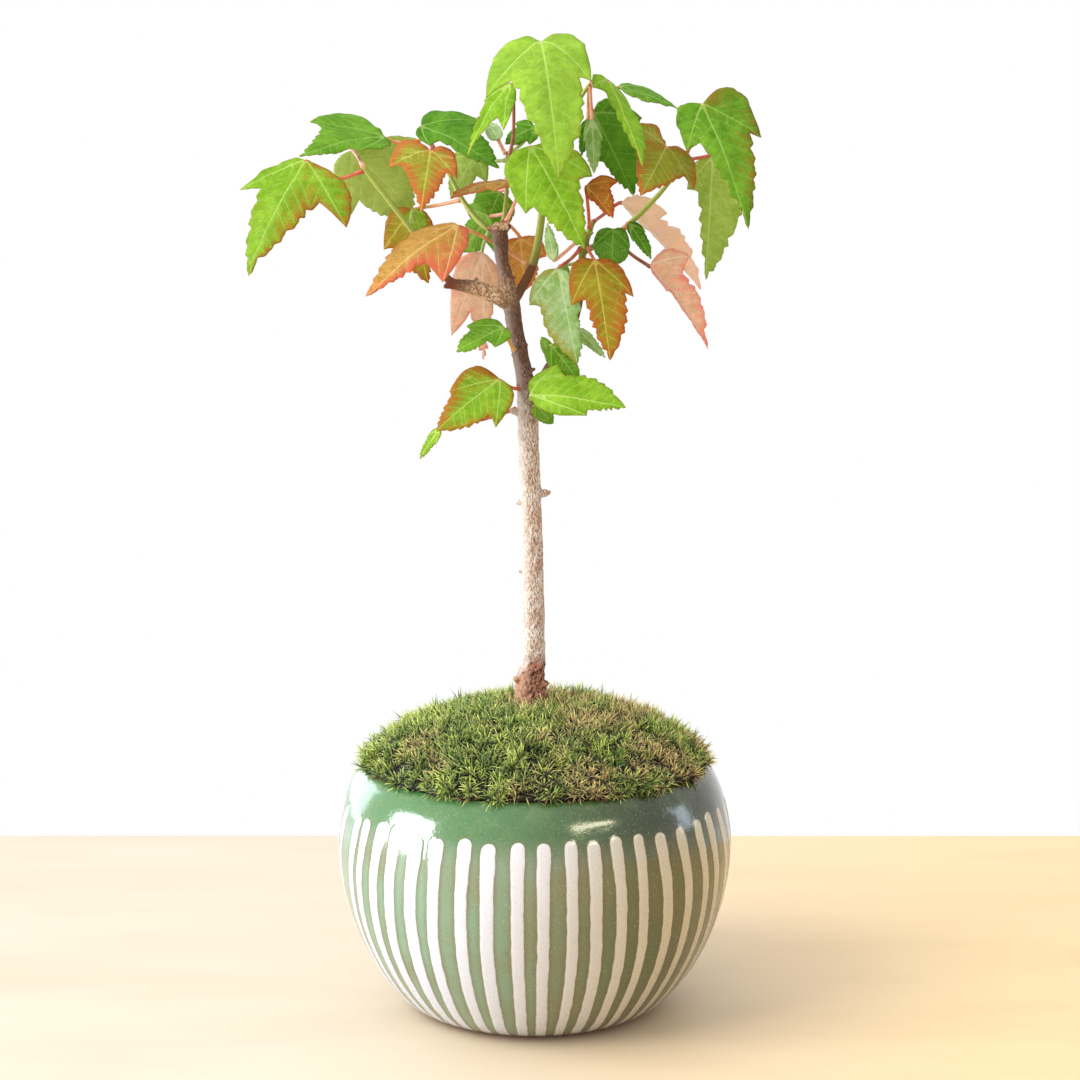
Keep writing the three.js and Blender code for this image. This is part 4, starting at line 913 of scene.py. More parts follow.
def bark_shift(places, thick, cork):
    """How far the bark's grain, the trunk's rough foot and the cork stand out at each place."""
    z = places[:, 2]
    grain = places * (1, 1, 0.3)
    shift = smooth_step(thick, 0.8, 2) * (0.2 * fields(grain, 1.1, 1) + 0.11 * fields(grain, 0.5, 2))
    shift += 0.05 * fields(places, 0.9, 3)
    shift += smooth_step(z, 92, 84) * (0.42 * fields(places, 1.7, 4) + 0.2 * fields(places, 0.8, 5))
    shift += smooth_step(cork, 0.2, 0.7) * 0.28 * np.abs(fields(places, 0.8, 6))
    return shift * smooth_step(z, 60, 72)


def make_tree():
    places, normals, quads = grown_wood()
    axes = np.empty((len(places), 4))
    for start in range(0, len(places), 4000):
        block = places[start:start + 4000]
        nearest = norm(block[:, None] - WOOD_LINES[None, :, :3], axis=2) - WOOD_LINES[:, 3]
        axes[start:start + 4000] = WOOD_LINES[nearest.argmin(axis=1)]
    thick = axes[:, 3]
    x, _, z = places.T
    cork = np.exp(-(((x + 11) / 5) ** 2) - ((z - 172.5) / 3.5) ** 2) * (z > 168) * smooth_step(thick, 1, 1.4)
    cork = np.maximum(cork, smooth_step(z, 186.6, 187.6) * (x < -6) * smooth_step(thick, 1.2, 1.7))
    grown = places + normals * bark_shift(places, thick, cork)[:, None]
    cuts = [np.exp(-(norm(grown - middle, axis=1) / size) ** 2) for middle, size in CUT_FACES]
    values = {
        "height": z,
        "thick": thick,
        "cork": np.clip(cork * 1.3, 0, 1),
        "green": smooth_step(z, 172, 190) * (thick < 1.1),
        "red": np.clip(np.maximum(*cuts) * 1.5, 0, 0.5),
        # lit: painted light, highest on the left side of each limb, where the light falls
        "lit": smooth_step((axes[:, 0] - x) / thick, -0.1, 0.9),
    }
    declare(make_piece("tree_bark", grown, [quads], [bark_material()], values), "bark", "tree")


# ---- Leaves ----

# Half outlines of a flat blade, as four points across and along in hundredths of its midrib: the middle of
# the shoulder, the tip of the side lobe, the notch and the middle of the belly. Then how many teeth are on
# the shoulder, beside the notch and on the belly.
SHAPES = {
    "broad": dict(half=(27.5, 2, 46, 38, 22, 36, 21.5, 70), teeth=(4, 1, 6)),
    "trident": dict(half=(28, 6, 37, 43, 22, 43, 20.5, 74), teeth=(3, 1, 6)),
    "slim": dict(half=(15, 10, 20, 40, 16.5, 43, 13, 74), teeth=(3, 1, 5)),
    "oval": dict(half=(22.8, 7.5, 31, 38, 30.5, 44, 22.6, 77), teeth=(3, 1, 4)),
}
PLAIN_FORM = dict(via=None, arch=20, fold=0, twist=0, curl=0.2, flush=None, shade=0)
TOOTH_DEPTHS = (0.009, 0.006, 0.024)  # on those three stretches, as parts of the midrib's length
TOOTH_TIP = 0.78  # how far along itself a tooth is highest
BLADE_THICKNESS = 0.26
MARGIN_THICKNESS = 0.13
MIDRIB_VEINS = (0.16, 0.27, 0.38, 0.49, 0.6, 0.7, 0.8, 0.89)  # where veins leave it, as parts of its length
SIDE_RIB_VEINS = (0.2, 0.36, 0.52, 0.68, 0.83)
STALK_RADIUS = 0.42
STALK_BEHIND = 0.15  # how far its middle lies behind the blade's base, as part of its length
# What the stalk's points carry, so that no vein or margin is drawn on them
ON_STALK = {"rib_gap": 9.0, "rib_width": 1.0, "vein_gap": 9.0, "edge_gap": 9.0}


def leaf(kinds, bud, base, tip, face, wide=1, **more):
    shape, tone, stalk = kinds.split()
    form = dict(shape=shape, tone=tone, stalk=stalk, bud=bud, base=base, tip=tip, face=face)
    return {**PLAIN_FORM, **form, "left": wide, "right": wide, **more}


# Each leaf: its shape, tone and stalk, its bud on the wood, the foot and the tip of its blade, and the way
# its face looks. Some have more: via is a place that the stalk runs through, arch, fold and twist are in
# degrees, flush is how far the left and right halves have autumn colour where it isn't as the tone is, and
# shade is how far the leaf is darker than its tone, or lighter below 0, partly its own colour and partly
# painted light and shade as it is lit. wide is how wide it is against its shape. A half, left or right, may
# have its own width against the shape, or four points of its own.
LEAVES = {
    "left_1": leaf("broad fresh red", (-39, -12, 200), (-51.5, -18, 202.5), (-64.5, -22, 176.5),
        (-0.2, -0.8, 0.5), via=(-45.8, -13, 198.4), arch=35, fold=-5, curl=0.3, flush=(0.15, 0.6), shade=0.15,
        left=(23, 10, 41, 41, 22, 34, 16, 68), right=(39, 3, 54, 33, 27, 25, 18, 56)),
    "left_2": leaf("broad green orange", (-25, 6, 208.5), (-35, 2, 208.5), (-53.5, -14, 203.5),
        (0, -0.55, 0.8), curl=0.05, shade=0.08, left=(52, -3, 50, 50, 31, 51, 14, 76),
        right=(20, 10, 22, 48, 14, 54, 12, 80)),
    "left_3": leaf("broad pale pink", (-39, -12, 201), (-43, 7, 205.5), (-29, 17, 191.5), (-0.2, -1, 0.1),
        shade=-0.5, left=(31, 3, 50, 53, 33, 46, 27, 81), right=(35, 14, 58, 44, 33, 53, 16, 82)),
    "left_4": leaf("trident deep orange", (-26, 6, 209), (-26.5, 2, 211), (-8, -6, 201), (0.2, -0.8, 0.6),
        arch=25, curl=0.3, shade=-0.08, left=(14, 4, 20, 26, 10, 32, 11, 71),
        right=(29, -3, 46, 45, 29, 46, 18, 75)),
    "left_5": leaf("broad flush red", (-24, 6.5, 206.5), (-24, -5, 205), (-25.5, -22, 190.5),
        (0.1, -0.7, 0.7), arch=25, curl=0.3, flush=(0.85, 1.0), left=(29, -22, 39, 34, 26, 34, 13, 67),
        right=(22, -8, 31, 41, 19, 37, 14, 69)),
    "left_6": leaf("broad pale green", (-6.5, 5, 203), (-14, 13, 204.5), (-20, 12, 194.5), (-0.1, -0.9, 0.4),
        wide=1.1, shade=-0.2),
    "left_7": leaf("trident orange pink", (-6.5, 4, 199.5), (-6.5, 2, 198), (-19.5, -6, 194), (0, -0.25, 1),
        wide=0.8, flush=(0.8, 0.6)),
    "left_8": leaf("trident orange orange", (-1.5, 4, 178), (-17.5, -11.5, 188), (-38, -23, 172),
        (-0.3, -0.8, 0.5), via=(-8, 4.5, 183), fold=-10, flush=(0.3, 0.95), shade=0.08,
        left=(15, 7, 25, 33, 22, 38, 17, 67), right=(19, 5, 33, 47, 13, 46, 9, 71)),
    "left_9": leaf("broad gold orange", (-17, 4, 194), (-29, 10, 191.5), (-25.5, 13, 174), (-0.3, -0.9, 0.3),
        left=(32, -2, 51, 46, 37, 45, 20, 77), right=(20, 8, 28, 50, 16, 50, 10, 79)),
    "left_10": leaf("oval fresh green", (-29, -9.5, 187.5), (-28.5, 2, 191.5), (-26.5, 2, 186),
        (0, -0.9, 0.4), wide=1.3),
    "mid_1": leaf("oval green pink", (-6.5, 3, 195.5), (-8.5, 20, 196), (-12, 25, 187), (0, -0.9, 0.4),
        wide=1.6),
    "mid_2": leaf("broad green pink", (-7, 2, 191), (-11, 17, 190), (-17.5, 25, 181.5), (-0.2, -0.9, 0.3),
        wide=1.2),
    "mid_3": leaf("broad pink green", (-11, 2, 185), (-12.5, 9, 181.5), (-12.5, 18, 155.5), (0.1, -0.95, 0.2),
        arch=15, flush=(0.45, 0.3), shade=-0.25, left=(24, 13, 28, 75, 11, 53, 8, 78),
        right=(13, 14, 15, 43, 9, 47, 6, 81)),
    "mid_4": leaf("trident orange orange", (-7, 4, 188), (-3.5, 13, 185), (-2.5, 23, 172), (0.1, -0.95, 0.2),
        flush=(0.6, 0.6)),
    "low_1": leaf("trident green orange", (-2, -1, 157.5), (-7, -8, 164.5), (-18, -12, 159), (0.1, -0.8, 0.6),
        curl=0.3, flush=(0.0, 0.0), shade=-0.06, left=(31, 13, 37, 57, 23, 57, 17, 82),
        right=(23, -1, 27, 36, 10, 43, 15, 74)),
    "low_2": leaf("broad fresh red", (-4.5, -2, 149.5), (-8, -8, 152.5), (-22.5, -16, 141), (-0.1, -0.8, 0.6),
        arch=25, curl=0.3, flush=(0.9, 0.55), shade=0.08, left=(37, 9, 27, 54, 20, 60, 12, 83),
        right=(30, 6, 44, 49, 30, 44, 22, 75)),
    "low_3": leaf("slim fresh red", (-4.5, 2, 145.5), (-22, -8, 141), (-27, -6, 133.5), (-0.2, -0.9, 0.3),
        wide=0.8),
    "low_4": leaf("trident fresh green", (-2, -2, 147.5), (-1, -9.5, 149), (21, -17, 146.5), (0, -0.9, 0.45),
        arch=30, fold=-10, curl=0.3, flush=(0.0, 0.2), shade=0.04, left=(17, 22, 15, 64, 9, 65, 7, 84),
        right=(24, -6, 42, 15, 25, 31, 26, 65)),
    "low_5": leaf("oval green green", (4, -0.5, 155.5), (3.6, -1.6, 157.6), (1.6, -1, 162), (0, -1, 0.1),
        left=1.1, right=0.8),
    "low_6": leaf("trident green green", (6, 0.4, 159.8), (4, -2.8, 160), (10.5, -2, 151.5), (0, -0.9, 0.3),
        wide=0.9, via=(5, -1.2, 160.1)),
    "low_7": leaf("oval green green", (-1.5, -2, 145), (0.2, -4.4, 146.2), (4.4, -5, 141.8), (0, -0.9, 0.3),
        wide=1.1),
    "low_8": leaf("slim silver pink", (9, 4, 163.5), (10, 6, 163.5), (17, 8, 156.5), (0.2, -0.9, 0.3),
        wide=0.8),
    "right_1": leaf("trident silver red", (12.5, 4, 184), (5.5, -4, 178), (10, -8, 156), (-0.1, -0.95, 0.2),
        flush=(0.7, 0.05), left=(24, 5, 36, 31, 25, 36, 22, 68), right=(13, 14, 15, 48, 10, 54, 10, 80)),
    "right_2": leaf("slim silver pink", (12.8, 3.5, 187), (4.5, -6.5, 180), (3, -4, 188.5),
        (-0.1, -0.95, 0.2), wide=0.9),
    "right_3": leaf("trident gold red", (13.5, 3, 183.5), (14, -4, 180), (17.5, -12, 157), (0.1, -0.95, 0.25),
        via=(12.6, -0.5, 182.5), flush=(0.65, 0.8), left=(22, 3, 29, 43, 15, 40, 12, 70),
        right=(23, 7, 31, 41, 23, 37, 20, 69)),
    "right_4": leaf("oval green green", (9, 3, 179.5), (6, 2, 178.5), (8, 2, 175.5), (0, -1, 0.1), wide=1.3),
    "right_5": leaf("oval deep green", (19.5, 4, 185.5), (18.5, 1, 187), (18, -1, 179), (0, -0.9, 0.4),
        shade=-0.08, left=(40, 3, 55, 52, 50, 66, 30, 92), right=(33, -1, 50, 48, 48, 63, 33, 93)),
    "right_6": leaf("slim deep orange", (21, 4, 187.5), (22, 0, 188.5), (27.5, 2, 180), (0.2, -0.9, 0.3),
        left=0.8, right=1.2),
    "right_7": leaf("broad pink dark", (20, 4, 185), (27.5, 9, 178.5), (42.5, 19, 158), (0.5, -0.8, 0.4),
        fold=35, curl=0.1, shade=-0.15, left=(11, 5, 13, 24, 9, 29, 10, 60),
        right=(22, 0, 33, 19, 17, 26, 16, 56)),
    "right_8": leaf("broad pink red", (12, 6, 193), (21, 15, 193.5), (41, 26, 172), (0.5, -0.8, 0.4), fold=35,
        curl=0.1, flush=(0.1, 0.4), shade=-0.9, left=(11, 5, 13, 24, 9, 29, 10, 58),
        right=(14, 8, 18, 33, 11, 32, 15, 60)),
    "right_9": leaf("broad flush orange", (34.5, 2, 201.5), (30.5, -4, 206), (24, -18, 194.5),
        (0.35, -0.7, 0.55), fold=-5, flush=(0.75, 0.6), shade=0.1, left=(24, -38, 44, -15, 31, 32, 14, 80),
        right=(33, -20, 54, 32, 35, 28, 20, 66)),
    "right_10": leaf("broad green orange", (35, 1, 203), (38.5, -8, 215.5), (48.5, -18, 187),
        (0.1, -0.9, 0.4), arch=35, fold=-5, curl=0.4, flush=(0.15, 0.5), shade=0.12,
        left=(19, -2, 24, 33, 13, 30, 7, 65), right=(31, -10, 33, 35, 25, 31, 17, 66)),
    "right_11": leaf("slim pale red", (35.5, 1, 203), (42, 5, 204), (41, 12, 175), (0, -1, 0.1), arch=15,
        shade=-0.1, left=(14, 5, 19, 27, 10, 29, 7, 62), right=(18, 8, 26, 46, 23, 51, 13, 79)),
    "top_1": leaf("trident fresh dark", (-6.5, 5, 201.5), (-5.5, -2, 220.5), (-15.5, -10, 203.5),
        (-0.4, -0.6, 0.7), arch=30, fold=15, left=(11, 8, 12, 34, 8, 40, 7, 70),
        right=(36, 30, 44, 68, 23, 53, 10, 72)),
    "top_2": leaf("broad fresh green", (3, 4, 221.5), (1.5, -8, 229.5), (5.5, -26, 198), (0, -0.75, 0.65),
        arch=60, curl=0.5, flush=(0.06, 0.2), shade=-0.14, left=(24, -2, 37, 40, 21, 33, 14, 65),
        right=(22, -2, 26, 37, 19, 35, 17, 69)),
    "top_3": leaf("slim fresh red", (13, 2, 221), (17, -6, 221), (24.5, -16, 201), (0.4, -0.8, 0.5), fold=-20,
        twist=30, left=(11, -10, 18, 5, 10, 17, 7, 57), right=(15, 5, 21, 26, 18, 30, 18, 66)),
    "top_4": leaf("slim green red", (13, 2, 221), (19.5, 1, 220), (33.5, 6, 215), (0.2, -0.45, 0.95),
        left=(20, 5, 28, 20, 26, 25, 24, 56), right=(20, 20, 34, 60, 31, 64, 18, 87)),
    "top_5": leaf("broad deep red", (13, 4, 220.5), (14, 12, 214.5), (24, 20, 195), (0, -0.95, 0.3),
        shade=-0.1, left=(16, 12, 22, 46, 14, 50, 10, 76), right=(22, -4, 43, 31, 33, 38, 21, 74)),
    "top_6": leaf("slim silver pink", (13, 3, 220.5), (13.5, 2, 212.5), (14, 4, 200), (0, -0.95, 0.3),
        wide=0.9),
    "top_7": leaf("slim deep orange", (13, 4, 220.5), (12.5, 4.5, 212.5), (11, 5.5, 204), (0, -0.95, 0.3),
        wide=0.9),
    "top_8": leaf("trident fresh pink", (-5.5, -1, 187.5), (-1, -8, 206), (11.5, -18, 182.5), (0, -0.85, 0.5),
        arch=30, curl=0.3, flush=(0.05, 0.3), shade=0.06, left=(27, 8, 30, 54, 22, 52, 13, 81),
        right=(29, 18, 33, 46, 21, 46, 12, 75)),
    "top_9": leaf("trident deep green", (-6.5, 6, 205.5), (0, 9, 211), (-7, 8, 207), (0, -0.8, 0.6),
        wide=1.2),
    "top_10": leaf("trident rust red", (14, 4, 186.5), (12, -8, 197), (18, -12, 189.5), (0, -0.85, 0.5),
        left=(13, 10, 16, 40, 11, 45, 10, 78), right=(44, -5, 66, 29, 37, 37, 26, 70)),
    "top_11": leaf("oval silver pink", (-7.5, 5, 204), (-8.5, 5, 208), (-11, 8, 212), (0, -0.9, 0.3),
        wide=1.1),
}

# Blade, lighter patches, veins, flush, underside, and the light that comes through
TONES = {
    "fresh": ((130, 180, 40), (162, 208, 62), (202, 226, 124), (186, 124, 44), (160, 196, 110),
        (200, 236, 40)),
    "green": ((100, 158, 38), (134, 188, 56), (180, 210, 112), (164, 118, 44), (146, 184, 104),
        (176, 226, 36)),
    "deep": ((70, 132, 30), (104, 164, 46), (156, 194, 96), (134, 104, 40), (128, 166, 96), (136, 206, 30)),
    "pale": ((152, 188, 82), (180, 208, 102), (210, 224, 142), (190, 146, 76), (172, 198, 126),
        (206, 232, 80)),
    "flush": ((146, 166, 46), (176, 186, 64), (222, 212, 120), (200, 116, 56), (184, 180, 100),
        (226, 200, 50)),
    "orange": ((208, 166, 80), (226, 188, 106), (246, 220, 156), (222, 122, 88), (226, 176, 124),
        (250, 180, 100)),
    "gold": ((156, 148, 40), (182, 174, 56), (228, 210, 108), (186, 108, 44), (188, 174, 90), (224, 196, 50)),
    # This tone's lighter patches are whitish: painted sheen of light off the leaf's face, over its green.
    "silver": ((146, 190, 104), (196, 222, 178), (214, 228, 180), (164, 160, 60), (198, 218, 186),
        (190, 228, 120)),
    "pink": ((240, 204, 172), (246, 222, 198), (255, 238, 222), (240, 142, 126), (238, 200, 176),
        (255, 210, 180)),
    "rust": ((180, 116, 40), (198, 134, 54), (226, 180, 92), (192, 84, 40), (200, 140, 80), (230, 144, 50)),
}
TONE_FLUSH = dict(
    fresh=0.16, green=0.1, deep=0.08, pale=0.1, flush=0.75, orange=0.75, gold=0.6, silver=0.05, pink=0.6,
    rust=0.7,
)
STALKS = {
    "red": ((176, 70, 50), (206, 108, 78)),
    "orange": ((214, 132, 74), (228, 164, 104)),
    "pink": ((226, 130, 108), (236, 170, 146)),
    "green": ((140, 168, 70), (178, 196, 104)),
    "dark": ((128, 58, 40), (160, 88, 60)),
}


def leaf_material(tone):
    blade, light, vein, flush, back, through = TONES[tone]
    look = Surface(f"leaf_{tone}")
    under = look.value("under")
    rib_gap = look.value("rib_gap")
    vein_gap = look.value("vein_gap")
    shade = look.value("shade")
    rib = look.ramp(look.maths("DIVIDE", rib_gap, look.value("rib_width")), 1.2, 0.5)
    vein_line = look.ramp(vein_gap, 0.16, 0.03)
    near_vein = look.ramp(vein_gap, 1.1, 0.0)
    beside_rib = look.ramp(rib_gap, 2.2, 0.3)
    cloud = look.noise(6, 3, 0.6)
    mottle = look.noise(1.2, 4, 0.65)
    grain = look.noise(0.32, 2, 0.6)
    net = look.ramp(look.cells(0.9, "DISTANCE_TO_EDGE"), 0.09, 0.0)
    colour = look.mix(blade, light, look.ramp(cloud, 0.35, 0.68))
    colour = look.mix(colour, light, near_vein, 0.2)
    colour = look.mix(colour, (0.42, 0.48, 0.3, 1), look.ramp(mottle, 0.62, 0.34, 0, 0.5), kind="MULTIPLY")
    uneven = look.plus(look.times(mottle, 0.8), look.times(grain, 1.3))
    red = look.plus(look.value("flush"), look.minus(uneven, 1.05))
    red = look.minus(red, look.times(near_vein, 0.16))
    red = look.minus(red, look.times(beside_rib, 0.14))
    flushed = look.ramp(red, 0.2, 0.66)
    colour = look.mix(colour, flush, flushed)
    colour = look.mix(colour, vein, net, 0.12)
    colour = look.mix(colour, vein, vein_line, 0.4)
    colour = look.mix(colour, vein, rib, 0.75)
    specks = look.ramp(look.cells(2.6), 0.1, 0.05)
    colour = look.mix(colour, (110, 78, 30), look.times(specks, look.ramp(cloud, 0.45, 0.6, 0, 0.3)))
    rim = look.ramp(look.value("edge_gap"), 0.25, 0.0)
    colour = look.mix(colour, flush, rim, 0.45)
    colour = look.mix(colour, back, under, 0.7)
    glow = look.mix(through, colour, 0.5)
    glow = look.mix(glow, flush, flushed, 0.8)
    # Painted light and shade, over the leaf's own colour: darker where shade is above 0, lighter below 0.
    colour = look.mix(colour, (0.02, 0.035, 0.004, 1), look.maths("MAXIMUM", shade, 0))
    colour = look.mix(colour, vein, look.maths("MAXIMUM", look.times(shade, -1), 0))
    relief = look.plus(look.times(net, -0.3), look.times(mottle, 0.9))
    relief = look.minus(relief, look.times(vein_line, 0.8))
    normal = look.bump(relief, 0.09)
    roughness = look.ramp(mottle, 0.3, 0.7, 0.42, 0.58)
    return look.finish(colour, roughness, normal, glow, 0.34, Specular_IOR_Level=0.04)


def stalk_material(kind):
    dark, light = STALKS[kind]
    look = Surface(f"stalk_{kind}")
    cloud = look.noise(2.5, 3, 0.6)
    colour = look.mix(dark, light, look.ramp(cloud, 0.35, 0.65))
    colour = look.mix(colour, (150, 160, 70), look.ramp(look.noise(7, 2), 0.55, 0.72, 0, 0.45))
    return look.finish(colour, 0.5, look.bump(look.noise(0.35, 2, stretch=(1, 1, 0.4)), 0.03))


def margin_stretch(start, middle, end, teeth, depth, draw):
    """Points along a toothed stretch of the margin, from its start to just before its end."""
    control = 2 * middle - (start + end) / 2
    steps = 13
    shares = np.arange(teeth * steps) / (teeth * steps)
    t = shares[:, None]
    curve = (1 - t) ** 2 * start + 2 * t * (1 - t) * control + t ** 2 * end
    ahead = (1 - t) * (control - start) + t * (end - control) + 1e-6
    ahead /= norm(ahead, axis=1, keepdims=True)
    inward = np.stack([-ahead[:, 1], ahead[:, 0]], axis=1)
    bounds = (np.arange(teeth + 1) + np.append(np.append(0, draw.uniform(-0.22, 0.22, teeth - 1)), 0)) / teeth
    tooth = np.searchsorted(bounds, shares, side="right") - 1
    local = (shares - bounds[tooth]) / (bounds[tooth + 1] - bounds[tooth])
    dents = depth * draw.uniform(0.5, 1.4, teeth + 1)
    dents[0] = 0
    dents[-1] *= 0.3
    rise = dents[tooth] * np.maximum(1 - local / TOOTH_TIP, 0) ** 1.3
    fall = dents[tooth + 1] * np.maximum((local - TOOTH_TIP) / (1 - TOOTH_TIP), 0)
    fall[tooth == teeth - 1] *= 1 - np.maximum((local[tooth == teeth - 1] - 0.86) / 0.14, 0)
    fine = 0.1 * depth * np.sin(local * 17) * np.sin(pi * shares)
    return curve + inward * (rise + fall + fine)[:, None]


def blade_outline(form, draw):
    """The flat blade's margin, from the stalk round by the right to the tip and back, and its lobes' tips."""
    shape = SHAPES[form["shape"]]
    halves, lobes = [], []
    for sign, own in ((1, form["right"]), (-1, form["left"])):
        points, wide = (own, 1) if isinstance(own, tuple) else (shape["half"], own)
        shoulder, lobe, notch, belly = np.reshape(points, (4, 2)) / 100 * (wide, 1)
        ends = [np.zeros(2), lobe, notch, np.array([0, 1])]
        middles = [shoulder, (lobe + notch) / 2 + (-0.012, -0.008), belly]
        half = np.vstack([
            margin_stretch(ends[i], middles[i], ends[i + 1], shape["teeth"][i], TOOTH_DEPTHS[i], draw)
            for i in range(3)
        ])
        halves.append(half * (sign, 1))
        lobes.append(lobe * (sign, 1))
    right, left = halves
    return np.vstack([right, [(0, 1)], left[:0:-1]]), lobes


def gap_to_lines(points, lines):
    """The least distance from each point to any of the lines, and the place along that line."""
    best = np.full(len(points), 1e9)
    where = np.zeros(len(points))
    for line in lines:
        start, way = line[:-1], np.diff(line, axis=0)
        size = np.maximum((way ** 2).sum(axis=1), 1e-12)
        share = np.clip(((points[:, None] - start) * way).sum(axis=2) / size, 0, 1)
        gaps = norm(points[:, None] - start - share[..., None] * way, axis=2)
        nearest = gaps.argmin(axis=1)
        rows = np.arange(len(points))
        closer = gaps[rows, nearest] < best
        best[closer] = gaps[rows, nearest][closer]
        where[closer] = ((nearest + share[rows, nearest]) / len(way))[closer]
    return best, where


def within(points, outline):
    """Which points lie inside a closed outline."""
    x, y = points[:, :1], points[:, 1:]
    ax, ay = outline.T
    bx, by = np.roll(outline, -1, axis=0).T
    crossing = (ay > y) != (by > y)
    at = ax + (y - ay) / np.where(by == ay, 1e-12, by - ay) * (bx - ax)
    return (crossing & (x < at)).sum(axis=1) % 2 == 1


def blade_veins(outline, lobes, gap):
    """The main ribs, and the side veins that branch off them towards the teeth."""
    closed = np.vstack([outline, outline[:1]])
    ribs = []
    for end, sag in ((np.array([0, 0.975]), 0), (lobes[0] * 0.965, -0.02), (lobes[1] * 0.965, -0.02)):
        steps = max(int(norm(end) / gap), 8)
        shares = np.linspace(0, 1, steps + 1)[:, None]
        ribs.append(shares * end + np.array([0, sag]) * (4 * shares * (1 - shares)))
    veins = []
    for number, rib in enumerate(ribs):
        starts = SIDE_RIB_VEINS if number else MIDRIB_VEINS
        others = [other for place, other in enumerate(ribs) if place != number] + veins
        for share in starts:
            for side in (1, -1):
                index = int(round((share + 0.03 * side) * (len(rib) - 1)))
                way = rib[min(index + 1, len(rib) - 1)] - rib[index - 1]
                turn = np.arctan2(way[1], way[0]) + side * np.radians(np.linspace(54, 34, 40))
                steps = np.stack([np.cos(turn), np.sin(turn)], axis=1) * gap
                path = rib[index] + np.vstack([np.zeros(2), np.cumsum(steps, axis=0)])
                to_edge, _ = gap_to_lines(path, [closed])
                to_rib, _ = gap_to_lines(path, others)
                stop = ~within(path, outline) | (to_edge < 0.55 * gap) | (to_rib < 1.3 * gap)
                stop[:2] = False
                reach = int(stop.argmax()) if stop.any() else len(path)
                if reach > 3 and within(path[1:2], outline)[0] and to_rib[1] > gap:
                    veins.append(path[:reach])
    return ribs, veins


def flat_blade(outline, lines, gap):
    """Points and triangles of the flat blade, with an edge along its margin and every vein."""
    fixed = [outline, *lines]
    points = np.vstack(fixed)
    edges, start = [], len(outline)
    for line in lines:
        edges += [(start + i, start + i + 1) for i in range(len(line) - 1)]
        start += len(line)
    low, high = outline.min(axis=0), outline.max(axis=0)
    columns = np.arange(low[0], high[0], gap)
    rows = np.arange(low[1], high[1], gap * 0.866)
    x, y = np.meshgrid(columns, rows)
    x = x + (np.arange(len(rows)) % 2)[:, None] * gap / 2
    grid = np.stack([x.ravel(), y.ravel()], axis=1)
    grid = grid[within(grid, outline)]
    clear = np.ones(len(grid), bool)
    for start in range(0, len(points), 400):
        block = points[start:start + 400]
        clear &= norm(grid[:, None] - block, axis=2).min(axis=1) > 0.62 * gap
    everything = [Vector(point) for point in np.vstack([points, grid[clear]])]
    border = list(range(len(outline)))
    found, _, faces, _, _, _ = delaunay_2d_cdt(everything, edges, [border], 1, 1e-6)
    found = np.array([tuple(point) for point in found])
    faces = np.array(faces)
    a, b, c = (found[faces[:, i]] for i in range(3))
    turn = (b[:, 0] - a[:, 0]) * (c[:, 1] - a[:, 1]) - (b[:, 1] - a[:, 1]) * (c[:, 0] - a[:, 0])
    faces[turn < 0] = faces[turn < 0][:, ::-1]
    return found, faces[np.abs(turn) > 1e-9]


def bend_blade(form, across, along, lift):
    """Places on the bent leaf, from millimetres across and a share along, and the way its face looks."""
    base, tip = np.array(form["base"], float), np.array(form["tip"], float)
    chord = norm(tip - base)
    forward = (tip - base) / chord
    face = np.array(form["face"], float)
    face -= face.dot(forward) * forward
    face /= norm(face)
    side = np.cross(face, forward)
    arch = radians(form["arch"])
    length = chord * arch / 2 / sin(arch / 2)
    slope = (arch / 2 - arch * along)[:, None]
    rise = (sin(arch / 2) - np.sin(slope)) * forward + (np.cos(slope) - cos(arch / 2)) * face
    place = base + length / arch * rise
    normal = np.cos(slope) * face - np.sin(slope) * forward
    turn = radians(form["twist"]) * (along - 0.5)[:, None]
    sideways = np.cos(turn) * side + np.sin(turn) * normal
    up = np.cos(turn) * normal - np.sin(turn) * side
    fold = radians(form["fold"])
    rise = np.abs(across) * sin(fold) - form["curl"] * across ** 2 / length + lift
    return place + (across * cos(fold))[:, None] * sideways + rise[:, None] * up, up


def stalk_rod(form):
    """A round stalk from the middle of the wood at the leaf's bud to the foot of its blade."""
    base = np.array(form["base"], float)
    bud = WOOD_LINES[norm(WOOD_LINES[:, :3] - form["bud"], axis=1).argmin(), :3]
    (rooted,), (up,) = bend_blade(form, np.zeros(1), np.array([0.035]), np.zeros(1))
    (foot,), (foot_up,) = bend_blade(form, np.zeros(1), np.zeros(1), np.zeros(1))
    away = STALK_BEHIND * norm(base - bud)
    middle = np.array(form["via"] or (bud + base) / 2 - away * foot_up)
    stations = [bud, middle, foot - 0.5 * foot_up, rooted - 0.22 * up]
    path = curve_points(stations, np.linspace(0, 1, 40))
    gaps = norm(path[:, None] - WOOD_LINES[None, :, :3], axis=2) - WOOD_LINES[:, 3]
    clear = gaps.min(axis=1) > -0.15
    start = int(clear.argmax())
    shares = np.linspace(start / 39, 1, 34)
    path = curve_points(stations, shares)
    reach = (shares - shares[0]) / (1 - shares[0])
    radii = STALK_RADIUS * (1 + 0.55 * np.exp(-reach / 0.06) + 0.2 * np.exp(-(((reach - 0.7) / 0.12) ** 2)))
    radii *= 1 - 0.55 * smooth_step(reach, 0.75, 1)
    return tube(path, radii, 10)


